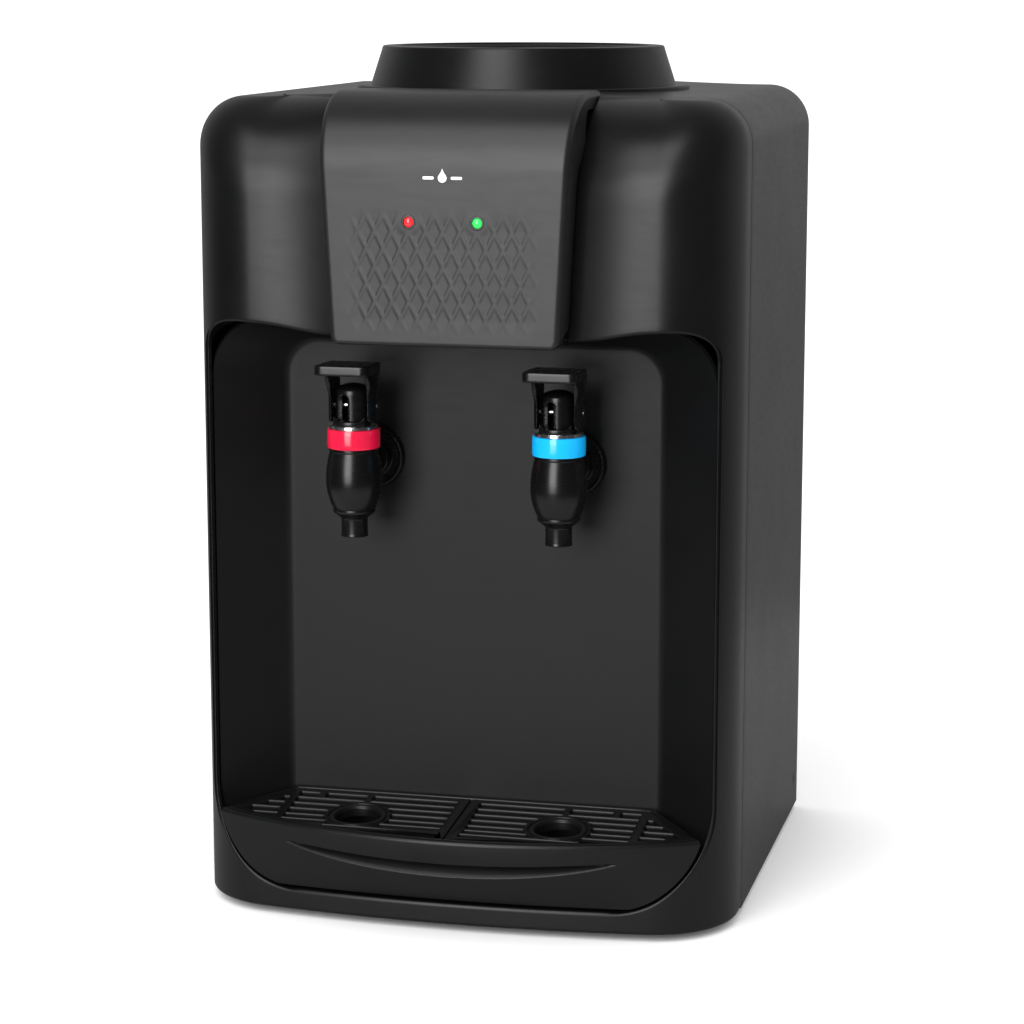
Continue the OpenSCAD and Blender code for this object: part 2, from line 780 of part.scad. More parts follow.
module cold_tank_lid() {
    color("white")
    translate([0, seat_y, cold_top]) difference() {
        union() {
            cylinder(h = 2, r = cold_r + 1, $fn = 96);
            translate([0, 0, -6]) cylinder(h = 7, r = cold_r - 2, $fn = 96);
        }
        translate([0, 0, -8]) cylinder(h = 20, r = 22);
        translate([0, 0, -8]) cylinder(h = 8, r = cold_r - 4, $fn = 96);
    }
}

module tank_foam() {
    color("whitesmoke")
    translate([0, seat_y, 0]) difference() {
        translate([0, 0, cold_z - 6]) cylinder(h = cold_top - cold_z, r = cold_r + 10, $fn = 96);
        translate([0, 0, cold_z - 0.2]) cylinder(h = 300, r = cold_r + 0.3, $fn = 96);
        for (x = [-30, 30]) translate([x, -20, cold_z - 20]) cylinder(h = 30, r = 9);
        box([-28, 30, peltier_z - 28], [28, 90, peltier_z + 28]);
    }
}

module tank_shelf() {
    z = cold_z - 8;
    low = z - 1.6;
    color("lightsteelblue")
    difference() {
        union() {
            box([-140, seat_y - 70, low], [140, seat_y + 76, z]);
            for (s = [-1, 1]) box([s > 0 ? 138.4 : -140, seat_y - 70, low - 20], [s > 0 ? 140 : -138.4,
                seat_y + 76, z]);
            translate([hot_x, hot_y, hot_top + 0.1]) cylinder(h = low - hot_top, r = 12);
        }
        for (x = [-30, 30]) translate([x, seat_y - 20, 0]) cylinder(h = 400, r = 10);
        translate([-64, -17, 0]) cylinder(h = 400, r = 10);
    }
}

module hot_tank() {
    color("silver")
    difference() {
        union() {
            translate([hot_x, hot_y, hot_z]) cylinder(h = hot_top - hot_z, r = hot_r);
            rod_y(hot_x, hot_top - 14, hot_y - hot_r - 8, hot_y, nipple_r);
            rod_y(hot_x, hot_z + 12, hot_y, hot_y + hot_r + 8, nipple_r);
            rod_x(hot_y, hot_z + 80, hot_x, hot_x + hot_r + 8, nipple_r);
        }
        translate([hot_x, hot_y, hot_z + 1.2]) cylinder(h = hot_top - hot_z - 2.4, r = hot_r - 1.2);
        rod_y(hot_x, hot_top - 14, hot_y - 90, hot_y, 2.8);
        rod_y(hot_x, hot_z + 12, hot_y, hot_y + 90, 2.8);
        rod_x(hot_y, hot_z + 80, hot_x, hot_x + 90, 2.8);
    }
}

module heater_band() {
    color("dimgray")
    difference() {
        union() {
            translate([hot_x, hot_y, hot_z + 24]) cylinder(h = 36, r = hot_r + 3);
            box([hot_x - hot_r - 14, hot_y - 5, hot_z + 30], [hot_x - hot_r, hot_y + 5, hot_z + 54]);
        }
        translate([hot_x, hot_y, hot_z]) cylinder(h = 200, r = hot_r + 0.05);
        box([hot_x - hot_r - 20, hot_y - 1, hot_z], [hot_x, hot_y + 1, hot_z + 80]);
    }
}

module thermostats() {
    color("#c8b48a")
    for (z = [hot_z + 70, hot_z + 88]) {
        rod_x(hot_y, z, hot_x - hot_r - 8, hot_x - hot_r - 0.2, 7.5);
        box([hot_x - hot_r - 13, hot_y - 5, z - 1], [hot_x - hot_r - 7.5, hot_y - 3.5, z + 1]);
        box([hot_x - hot_r - 13, hot_y + 3.5, z - 1], [hot_x - hot_r - 7.5, hot_y + 5, z + 1]);
    }
}

// The hoses' routes: each slips over its two nipples
tap_hose_y = tap_y + tap_reach + wall + 24;
hot_outlet_route = [
    [-tap_x, tap_hose_y, arm_z], [-tap_x, tap_hose_y + 6, arm_z], [-tap_x, tap_hose_y + 13, arm_z],
    [-60, -20, 240], [-65, -18, 214], [-64, -34, 200], [hot_x, -44, hot_top - 12],
    [hot_x, hot_y - hot_r - 20, hot_top - 14], [hot_x, hot_y - hot_r - 10, hot_top - 14],
    [hot_x, hot_y - hot_r - 3, hot_top - 14]];
hot_feed_route = [
    [-30, seat_y - 20, cold_z - 4], [-30, seat_y - 20, cold_z - 10], [-30, seat_y - 20, cold_z - 17],
    [-20, 21, 206], [0, 23, 204], [9, hot_y, 194], [2, hot_y, hot_z + 81],
    [hot_x + hot_r + 16, hot_y, hot_z + 80], [hot_x + hot_r + 9, hot_y, hot_z + 80],
    [hot_x + hot_r + 3, hot_y, hot_z + 80]];
cold_outlet_route = [
    [30, seat_y - 20, cold_z - 4], [30, seat_y - 20, cold_z - 10], [30, seat_y - 20, cold_z - 17],
    [34, 4, 201], [46, -22, 200], [55, -38, 218], [tap_x, tap_hose_y + 23, 240],
    [tap_x, tap_hose_y + 14, arm_z], [tap_x, tap_hose_y + 6, arm_z], [tap_x, tap_hose_y, arm_z]];
drain_route = [
    [hot_x, hot_y + hot_r + 3, hot_z + 12], [hot_x, hot_y + hot_r + 9, hot_z + 12],
    [hot_x, hot_y + hot_r + 17, hot_z + 12], [-60, 96, 108], [-52, 102, 84], [-46, 98, 58],
    [drain_x, 101, 44], [drain_x, 107, drain_z], [drain_x, 112, drain_z], [drain_x, pocket_y - 10, drain_z]];

module hot_outlet_hose() {
    color("ivory") hose(curve(hot_outlet_route, 2), [1, 0.1, 0.15]);
}
module hot_feed_hose() {
    color("ivory") hose(curve(hot_feed_route, 2), [0.1, 1, 0.1]);
}
module cold_outlet_hose() {
    color("ivory") hose(curve(cold_outlet_route, 2), [1, 0.3, 0.1]);
}
module drain_tube() {
    color("ivory") hose(curve(drain_route, 2), [1, 0.1, 0.12]);
}

module drain_port() {
    color("white")
    difference() {
        union() {
            rod_y(drain_x, drain_z, pocket_y - 16, pocket_y - 5, nipple_r);
            rod_y(drain_x, drain_z, pocket_y - 6, pocket_y - 2.05, 12);
            rod_y(drain_x, drain_z, pocket_y - 3, pocket_y + 12, 8);
        }
        rod_y(drain_x, drain_z, pocket_y - 40, pocket_y + 40, 2.8);
        rod_y(drain_x, drain_z, pocket_y + 4, pocket_y + 40, 5);
    }
}

module drain_plug() {
    color("dimgray")
    union() {
        rod_y(drain_x, drain_z, pocket_y + 6, pocket_y + 13, 4.7);
        rod_y(drain_x, drain_z, pocket_y + 12.1, pocket_y + 14, 7.6);
    }
}

module drain_cap() {
    color(black)
    difference() {
        rod_y(drain_x, drain_z, pocket_y + 2, pocket_y + 18, 12);
        rod_y(drain_x, drain_z, pocket_y, pocket_y + 14.3, 8.4);
        for (a = [0:30:330]) translate([drain_x, 0, drain_z]) rotate([0, a, 0]) rod_y(13, 0, pocket_y,
            pocket_y + 20, 1.8);
    }
}

// ---- cooling and electrics ----

module cold_plate() {
    color("silver")
    difference() {
        box([-22, seat_y + cold_r - 6, peltier_z - 22], [22, plate_y, peltier_z + 22]);
        translate([0, seat_y, 0]) cylinder(h = 500, r = cold_r + 0.05, $fn = 96);
    }
}

module peltier_module() {
    color("white") box([-20, plate_y + 0.05, peltier_z - 20], [20, sink_y - 0.05, peltier_z + 20]);
}

module heat_sink() {
    color("silver")
    union() {
        box([-48, sink_y, peltier_z - 48], [48, sink_y + 5, peltier_z + 48]);
        for (i = [-8:8]) box([i * 5.8 - 0.8, sink_y + 4, peltier_z - 48], [i * 5.8 + 0.8, sink_y + 14.5,
            peltier_z + 48]);
    }
}

module fan_frame() {
    h = fan_w / 2;
    color("#2b2b2b")
    difference() {
        union() {
            difference() {
                box([-h, fan_y, peltier_z - h], [h, fan_y + 13, peltier_z + h]);
                rod_y(0, peltier_z, fan_y - 1, fan_y + 20, blade_r + 2);
            }
            rod_y(0, peltier_z, fan_y + 10.5, fan_y + 13, 18);
            for (a = [45:90:315]) translate([0, 0, peltier_z]) rotate([0, a, 0])
                box([10, fan_y + 10.5, -2], [h, fan_y + 13, 2]);
            rod_y(0, peltier_z, fan_y + 3, fan_y + 11, 1.5);
        }
        for (x = [-1, 1], z = [-1, 1]) rod_y(x * (h - 5), peltier_z + z * (h - 5), fan_y - 1, fan_y + 20,
            2.1);
    }
}

module fan_rotor() {
    color("#3a3a3a")
    difference() {
        union() {
            rod_y(0, peltier_z, fan_y + 1.5, fan_y + 9.5, 17);
            for (i = [0:6]) translate([0, fan_y + 5.5, peltier_z]) rotate([0, i * 360 / 7, 0]) rotate([28,
                0, 0])
                translate([15, -0.8, -7]) cube([blade_r - 16, 1.6, 14]);
        }
        rod_y(0, peltier_z, fan_y + 2.6, fan_y + 20, pin_r + run_gap);
    }
}

module power_board() {
    z = z0 + 12;
    color("darkgreen") difference() {
        box([22, -20, z], [112, 100, z + 1.6]);
        for (x = [27, 107], y = [-15, 95]) translate([x, y, 0]) cylinder(h = 60, r = 1.8);
    }
    color("#d8b030") box([34, 0, z + 1.6], [66, 34, z + 30]);
    color("#202020") for (x = [78, 94], y = [6, 26]) translate([x, y, z + 1.6]) cylinder(h = 22, r = 6);
    color("white") for (i = [0:3]) box([32 + 18 * i, 78, z + 1.6], [44 + 18 * i, 88, z + 13]);
    color("#202020") for (x = [27, 107], y = [-15, 95]) translate([x, y, z0 + wall]) difference() {
        cylinder(h = z - z0 - wall, r = 4);
        translate([0, 0, -1]) cylinder(h = 20, r = 1.8);
    }
}

module switch_housings() {
    color(black)
    for (x = switch_x) difference() {
        union() {
            box([x - 8.5, rear_y, switch_z - 12.5], [x + 8.5, rear_y + 1.6, switch_z + 12.5]);
            box([x - 7, rear_y - 20, switch_z - 11], [x + 7, rear_y + 1, switch_z + 11]);
        }
        box([x - 5.6, rear_y - 9, switch_z - 9.6], [x + 5.6, rear_y + 5, switch_z + 9.6]);
        rod_x(rocker_y, switch_z, x - 6.6, x + 6.6, trunnion_r + run_gap);
    }
}

// Rocker, lying pressed in at its lower end; it turns about a level axis across the switch
module rocker(x, tint) {
    color(tint) {
        translate([x, rocker_y, switch_z]) rotate([7, 0, 0]) along_x(-5.2, 5.2)
            polygon([[-3, -4], [-3, 4], [1.5, 8.6], [4.4, 8.6], [3.2, 0], [4.4, -8.6], [1.5, -8.6]]);
        rod_x(rocker_y, switch_z, x - 6.4, x + 6.4, trunnion_r);
    }
}
module hot_switch_rocker() {
    rocker(switch_x[1], "crimson");
}
module cold_switch_rocker() {
    rocker(switch_x[0], "seagreen");
}

module cord_gland() {
    color("#151515")
    difference() {
        union() {
            rod_y(gland_x, gland_z, rear_y, rear_y + rear_proud, 9.5);
            rod_y(gland_x, gland_z, rear_y - 4, rear_y + 1, 7);
            rod_y(gland_x, gland_z, rear_y - 8, rear_y - wall - 0.05, 9);
        }
        rod_y(gland_x, gland_z, rear_y - 20, rear_y + 5, 3.6);
    }
}

cabinet_wrap();
front_frame();
control_panel();
alcove_liner();
base_pan();
rear_panel();
feet();
side_screws();
rear_screws();
bottle_collar();
bottle_funnel();
drip_tray();
grille_left();
grille_right();
red_led();
green_led();
led_board();
tap_body(-1);  // hot_tap_body
tap_body(1);  // cold_tap_body
tap_flanges();
tap_lock_nuts();
hot_colour_ring();
cold_colour_ring();
tap_washers();
bonnet(-1);  // hot_bonnet
bonnet(1);  // cold_bonnet
stem(-1);  // hot_stem
stem(1);  // cold_stem
valve_cup(-1);  // hot_valve_cup
valve_cup(1);  // cold_valve_cup
spring(-1);  // hot_spring
spring(1);  // cold_spring
lever(-1);  // hot_lever
lever(1);  // cold_lever
lever_pins();
cold_tank();
cold_tank_lid();
tank_foam();
tank_shelf();
hot_tank();
heater_band();
thermostats();
hot_feed_hose();
hot_outlet_hose();
cold_outlet_hose();
drain_tube();
drain_port();
drain_plug();
drain_cap();
cold_plate();
peltier_module();
heat_sink();
fan_frame();
fan_rotor();
power_board();
switch_housings();
hot_switch_rocker();
cold_switch_rocker();
cord_gland();
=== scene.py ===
"""Countertop water dispenser: the looks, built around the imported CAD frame. Metres."""

import json
import math

import bmesh
import bpy
import numpy as np
from mathutils import Matrix, Vector


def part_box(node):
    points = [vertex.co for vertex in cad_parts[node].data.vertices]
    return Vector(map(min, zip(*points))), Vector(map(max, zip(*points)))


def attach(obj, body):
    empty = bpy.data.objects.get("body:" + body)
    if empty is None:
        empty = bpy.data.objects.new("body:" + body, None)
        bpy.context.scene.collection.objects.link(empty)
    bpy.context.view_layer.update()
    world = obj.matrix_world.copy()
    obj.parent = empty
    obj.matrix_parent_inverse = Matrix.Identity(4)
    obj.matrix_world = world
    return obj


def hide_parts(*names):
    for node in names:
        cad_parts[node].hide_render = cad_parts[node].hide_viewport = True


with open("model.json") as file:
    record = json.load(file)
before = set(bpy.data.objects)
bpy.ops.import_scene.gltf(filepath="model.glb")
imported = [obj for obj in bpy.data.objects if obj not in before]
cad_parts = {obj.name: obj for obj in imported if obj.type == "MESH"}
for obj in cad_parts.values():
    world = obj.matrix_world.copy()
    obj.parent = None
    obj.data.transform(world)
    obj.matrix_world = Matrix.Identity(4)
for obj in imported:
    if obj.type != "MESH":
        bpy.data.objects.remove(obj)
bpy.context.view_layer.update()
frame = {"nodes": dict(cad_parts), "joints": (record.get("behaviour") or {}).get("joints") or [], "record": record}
RECORD = frame["record"]
MM = 0.001
HALF_PI = math.pi / 2
DOUBLE = 0.01 * MM  # points nearer than this are one
SLOT_OF = {part["node"]: part["material_slot"] for part in RECORD["subparts"]}
BODY_OF = {node: body for body, nodes in RECORD["behaviour"]["bodies"].items() for node in nodes}

# ---- main places, read from the frame ----

WRAP_LOW, WRAP_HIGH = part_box("cabinet_wrap")
PANEL_LOW, PANEL_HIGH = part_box("control_panel")
LINER_LOW, LINER_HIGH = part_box("alcove_liner")
TRAY_LOW, TRAY_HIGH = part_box("drip_tray")
COLLAR_LOW, COLLAR_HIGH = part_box("bottle_collar")
FUNNEL_LOW, FUNNEL_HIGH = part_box("bottle_funnel")
HALF_W = WRAP_HIGH.x
BASE_Z = WRAP_LOW.z
TOP_Z = WRAP_HIGH.z
SEAM_Y = WRAP_LOW.y
REAR_Y = WRAP_HIGH.y
CHIN_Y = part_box("front_frame")[0].y
SEAT_Y = (COLLAR_LOW.y + COLLAR_HIGH.y) / 2

# ---- driving sizes of the mouldings ----

CROWN = 3 * MM
SIDE_TOP = TOP_Z - CROWN
TOP_R = 24 * MM
CROWN_HW = HALF_W - TOP_R
ROLL_R = 52 * MM
CORNER_R = 47 * MM
CORNER_SET = 11.5 * MM
WALL = 2.2 * MM
BAY_HW = LINER_HIGH.x - 2.5 * MM
BAY_LOW = LINER_LOW.z + 2.5 * MM
BAY_TOP = LINER_HIGH.z - 2.5 * MM
BAY_R_TOP = 31 * MM
BAY_R_LOW = 53 * MM
BACK_HW = 105.5 * MM
BACK_TOP = BAY_TOP - 13 * MM
BACK_R_TOP = 19 * MM
BACK_R_LOW = 20 * MM
LINER_Y = LINER_LOW.y
BACK_Y = LINER_HIGH.y - 2.5 * MM
PANEL_HW_LOW = 62 * MM
PANEL_HW_TOP = PANEL_HIGH.x
PANEL_ROLL_R = 40 * MM

# Plan of the front moulding: a long arc that runs into two round corners and a short straight side
CORNER_X = HALF_W - CORNER_R
RISE = SEAM_Y - CHIN_Y - CORNER_SET
FRONT_R = (CORNER_X**2 + RISE**2 - CORNER_R**2) / (2 * (RISE - CORNER_R))
CORNER_A = math.atan2(CORNER_X, FRONT_R - RISE)
ARC_END = FRONT_R * CORNER_A
CORNER_END = ARC_END + CORNER_R * (HALF_PI - CORNER_A)
PLAN_END = CORNER_END + CORNER_SET


def smoothstep(x, low, high):
    t = np.clip((x - low) / (high - low), 0, 1)
    return t * t * (3 - 2 * t)


# ---- mesh helpers ----


def new_object(name, verts, faces, sharp=38):
    """Mesh object from points and faces, with doubles merged, normals outward and sharp edges marked."""
    mesh = bpy.data.meshes.new(name)
    mesh.from_pydata([tuple(map(float, v)) for v in verts], [], [tuple(map(int, f)) for f in faces])
    edit = bmesh.new()
    edit.from_mesh(mesh)
    bmesh.ops.remove_doubles(edit, verts=edit.verts, dist=DOUBLE)
    bmesh.ops.recalc_face_normals(edit, faces=edit.faces)
    edit.to_mesh(mesh)
    edit.free()
    return shaded_object(name, mesh, sharp)


def placed(name, data):
    obj = bpy.data.objects.new(name, data)
    bpy.context.scene.collection.objects.link(obj)
    return obj


def shaded_object(name, mesh, sharp):
    obj = placed(name, mesh)
    shade(obj, sharp)
    return obj


def evaluated_mesh(obj):
    """What the object's modifiers or curve settings make, as a mesh of its own."""
    return bpy.data.meshes.new_from_object(obj.evaluated_get(bpy.context.evaluated_depsgraph_get()))


def shade(obj, sharp=38):
    obj.data.shade_smooth()
    obj.data.set_sharp_from_angle(angle=math.radians(sharp))


def bake_modifiers(obj):
    """Puts what the modifiers make into the mesh, and clears them."""
    mesh = evaluated_mesh(obj)
    obj.modifiers.clear()
    old = obj.data
    obj.data = mesh
    bpy.data.meshes.remove(old)


def put(thing, **settings):
    for key, value in settings.items():
        setattr(thing, key, value)
    return thing


def modify(obj, kind, **settings):
    put(obj.modifiers.new(kind.lower(), kind), **settings)


def cut(obj, cutters, operation="DIFFERENCE", sharp=38):
    for cutter in cutters:
        modify(obj, "BOOLEAN", operation=operation, solver="EXACT", object=cutter)
    bake_modifiers(obj)
    for cutter in cutters:
        drop(cutter)
    shade(obj, sharp)


def drop(obj):
    mesh = obj.data
    bpy.data.objects.remove(obj)
    bpy.data.meshes.remove(mesh)


def join(name, parts, sharp=38):
    """One object from several, which are used up."""
    edit = bmesh.new()
    for part in parts:
        edit.from_mesh(part.data)
    mesh = bpy.data.meshes.new(name)
    edit.to_mesh(mesh)
    edit.free()
    for part in parts:
        drop(part)
    return shaded_object(name, mesh, sharp)


def thicken(obj, sharp):
    modify(obj, "SOLIDIFY", thickness=WALL, offset=-1)
    bake_modifiers(obj)
    shade(obj, sharp)


def blend_solid(obj, voxel, rounds):
    """Fuses overlapping solids into one skin and softens its inner and outer edges."""
    modify(obj, "REMESH", mode="VOXEL", voxel_size=voxel)
    modify(obj, "SMOOTH", factor=0.5, iterations=rounds)
    bake_modifiers(obj)
    shade(obj, 60)


def grid_faces(rows, cols, close_rows=False, close_cols=False, ends=False):
    """Quads over a grid of points. The ends are the first and the last row, each as one face."""
    faces = []
    for i in range(rows if close_rows else rows - 1):
        for k in range(cols if close_cols else cols - 1):
            a, b = i * cols, (i + 1) % rows * cols
            faces.append((a + k, a + (k + 1) % cols, b + (k + 1) % cols, b + k))
    if ends:
        faces += [tuple(range(cols)), tuple(range((rows - 1) * cols, rows * cols))]
    return faces


def mm(points, up=0.0):
    """Points (u, v) or (u, v, radius) in millimetres, brought to metres, with v counted from a height."""
    return [(p[0] * MM, p[1] * MM + up, *(r * MM for r in p[2:])) for p in points]


def middle(node):
    low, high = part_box(node)
    return (low + high) / 2


def fillet(points, closed=False, steps=6):
    """Rounds the corners of an outline. A point is (u, v) or (u, v, radius)."""
    out = []
    count = len(points)
    for i, point in enumerate(points):
        at = Vector(point[:2])
        radius = point[2] if len(point) > 2 else 0
        if not radius or (not closed and i in (0, count - 1)):
            out.append(tuple(at))
            continue
        back = Vector(points[i - 1][:2]) - at
        ahead = Vector(points[(i + 1) % count][:2]) - at
        if min(back.length, ahead.length) < 0.001 * MM:
            continue
        half = back.angle(ahead) / 2
        reach = min(radius / math.tan(half), 0.49 * back.length, 0.49 * ahead.length)
        start, end = at + back.normalized() * reach, at + ahead.normalized() * reach
        for k in range(steps + 1):
            t = k / steps
            out.append(tuple(start * (1 - t) ** 2 + at * 2 * t * (1 - t) + end * t * t))
    return out


def lathe(name, profile, axis, segments=96, closed=False, level=False):
    """Turned shape about an upright axis at (x, y), or a level one along Y at (x, z).

    The profile is a list of (radius, place along the axis, fillet), the fillet being optional.
    """
    path = fillet(profile, closed)
    verts = []
    for radius, along in path:
        for k in range(segments):
            a = 2 * math.pi * k / segments
            u, v = axis[0] + radius * math.cos(a), axis[1] + radius * math.sin(a)
            verts.append((u, along, v) if level else (u, v, along))
    faces = grid_faces(len(path), segments, close_rows=closed, close_cols=True)
    return new_object(name, verts, faces)


def lathe_y(name, profile, axis, segments=72, closed=False):
    return lathe(name, profile, axis, segments, closed, level=True)


def prism(name, outline, low, high, axis="Z"):
    """Straight solid on an outline. Along Z it is drawn in (x, y), along X in (y, z), along Y in (x, z)."""
    order = {"Z": (0, 1, 2), "X": (2, 0, 1), "Y": (0, 2, 1)}[axis]
    verts = [[(u, v, w)[i] for i in order] for w in (low, high) for u, v in outline]
    return new_object(name, verts, grid_faces(2, len(outline), close_cols=True, ends=True))


def stand_for(obj, *nodes):
    """The piece takes these nodes' place, body, finish and looks."""
    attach(obj, BODY_OF[nodes[0]])
    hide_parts(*nodes)
    dress(obj, SLOT_OF[nodes[0]])


def dress(obj, slot):
    obj.data.materials.clear()
    obj.data.materials.append(MATERIALS[slot])


# ---- materials ----


class Nodes:
    """Short forms for building the nodes of a material or of the world."""

    def __init__(self, name, library="materials", shader="Principled BSDF"):
        self.owner = getattr(bpy.data, library).new(name)
        self.owner.use_nodes = True
        self.tree = self.owner.node_tree
        self.shader = self.tree.nodes[shader]
        self.places = self.add("ShaderNodeTexCoord").outputs
        self.place = self.places["Object"]

    def add(self, kind, **values):
        node = self.tree.nodes.new(kind)
        for key, value in values.items():
            if key in node.inputs:
                node.inputs[key].default_value = value
            else:
                setattr(node, key.lower(), value)
        return node

    def link(self, source, target):
        self.tree.links.new(source, target)

    def stretched(self, scale):
        node = self.add("ShaderNodeMapping", Scale=scale)
        self.link(self.place, node.inputs["Vector"])
        return node.outputs["Vector"]

    def noise(self, scale, detail=3.0, rough=0.55, vector=None):
        node = self.add("ShaderNodeTexNoise", Scale=scale, Detail=detail, Roughness=rough)
        self.link(vector or self.place, node.inputs["Vector"])
        return node.outputs["Fac"]

    def pits(self, scale):
        node = self.add("ShaderNodeTexVoronoi", Scale=scale)
        self.link(self.place, node.inputs["Vector"])
        return node.outputs["Distance"]

    def maths(self, operation, *sources):
        node = self.add("ShaderNodeMath", operation=operation)
        for source, target in zip(sources, node.inputs):
            self.link(source, target)
        return node.outputs["Value"]

    def spread(self, source, low, high, start=0.3, end=0.7, kind="LINEAR"):
        node = self.add("ShaderNodeMapRange", interpolation_type=kind)
        for key, value in (("From Min", start), ("From Max", end), ("To Min", low), ("To Max", high)):
            node.inputs[key].default_value = value
        self.link(source, node.inputs["Value"])
        return node.outputs["Result"]

    def colour(self, source, low, high, start=0.3, end=0.7):
        node = self.add("ShaderNodeValToRGB")
        ramp = node.color_ramp.elements
        ramp[0].position, ramp[1].position = start, end
        ramp[0].color, ramp[1].color = (*low, 1), (*high, 1)
        self.link(source, node.inputs["Fac"])
        self.link(node.outputs["Color"], self.shader.inputs["Base Color"])

    def bump(self, source, strength, depth, under=None):
        node = self.add("ShaderNodeBump", Strength=strength, Distance=depth)
        self.link(source, node.inputs["Height"])
        if under:
            self.link(under, node.inputs["Normal"])
        return node.outputs["Normal"]

    def finish(self, normal=None, rough=None, **constants):
        if normal:
            self.link(normal, self.shader.inputs["Normal"])
        if rough:
            self.link(rough, self.shader.inputs["Roughness"])
        for key, value in constants.items():
            self.shader.inputs[key.replace("_", " ")].default_value = value
        return self.owner


def moulded(name, base, tint, rough, grain, depth, gloss=0.5):
    """Injection-moulded plastic: spark-eroded grain, faint flow marks and a little handling wear."""
    n = Nodes(name)
    flow = n.noise(18, 4)
    n.colour(flow, base, tint)
    fine = n.noise(grain, 4, 0.6)
    pits = n.pits(grain * 0.8)
    scuffs = n.noise(1.0, 6, 0.65, n.stretched((60, 60, 340)))
    sheen = n.spread(flow, rough - 0.015, rough + 0.02)
    wear = n.maths("ADD", sheen, n.spread(scuffs, -0.01, 0.02, 0.42, 0.68))
    bumped = n.bump(pits, 0.35, depth, n.bump(fine, 0.5, depth))
    return n.finish(bumped, wear, Specular_IOR_Level=gloss)


def coloured_gloss(name, base, deep, rough=0.16, coat=0.6):
    """Bright moulded plastic under a clear skin, with faint sink marks."""
    n = Nodes(name)
    n.colour(n.noise(60, 3), deep, base)
    ripple = n.bump(n.noise(90, 2), 0.12, 0.0002)
    rough_out = n.spread(n.noise(900, 4), rough - 0.05, rough + 0.08)
    return n.finish(ripple, rough_out, Coat_Weight=coat, Coat_Roughness=0.06)


def metal(name, low, high, rough, stretch, depth):
    """Metal with marks drawn along one direction."""
    n = Nodes(name)
    marks = n.noise(1.0, 5, 0.6, n.stretched(stretch))
    n.colour(marks, low, high)
    return n.finish(n.bump(marks, 0.3, depth), n.spread(marks, rough * 0.7, rough * 1.4), Metallic=1.0)


def rubber(name, base, tint, rough=0.78):
    n = Nodes(name)
    n.colour(n.noise(45, 5), base, tint)
    dust = n.spread(n.noise(220, 4), rough - 0.1, rough + 0.1)
    return n.finish(n.bump(n.pits(1700), 0.5, 0.00008), dust, Specular_IOR_Level=0.35)


def soft_white(name, base, tint, rough, through=0.0):
    n = Nodes(name)
    n.colour(n.noise(40, 4), tint, base)
    skin = n.bump(n.noise(1400, 3), 0.3, 0.00005)
    return n.finish(skin, n.spread(n.noise(120, 3), rough - 0.06, rough + 0.08), Subsurface_Weight=through)


def beaded_foam(name):
    n = Nodes(name)
    beads = n.pits(420)
    n.colour(beads, (0.86, 0.86, 0.84), (0.66, 0.66, 0.64), 0.15, 0.75)
    return n.finish(n.bump(beads, 0.8, 0.0004), n.spread(beads, 0.6, 0.85), Specular_IOR_Level=0.3)


def board(name):
    """Solder mask with faint copper runs under it."""
    n = Nodes(name)
    runs = n.add("ShaderNodeTexBrick", Scale=150.0)
    n.link(n.place, runs.inputs["Vector"])
    runs.inputs["Color1"].default_value = (0.015, 0.16, 0.06, 1)
    runs.inputs["Color2"].default_value = (0.02, 0.20, 0.075, 1)
    runs.inputs["Mortar"].default_value = (0.06, 0.33, 0.12, 1)
    n.link(runs.outputs["Color"], n.shader.inputs["Base Color"])
    return n.finish(n.bump(runs.outputs["Fac"], 0.25, 0.00006), n.spread(n.noise(300, 3), 0.25, 0.4))


def lens(name, base, deep, glow):
    """Tinted lens of an indicator that is lit."""
    n = Nodes(name)
    n.colour(n.noise(500, 2), deep, base)
    return n.finish(n.bump(n.noise(700, 2), 0.1, 0.0001), n.spread(n.noise(900, 2), 0.06, 0.16),
                    Emission_Color=(*glow, 1), Emission_Strength=0.55, Coat_Weight=1.0, Coat_Roughness=0.03)


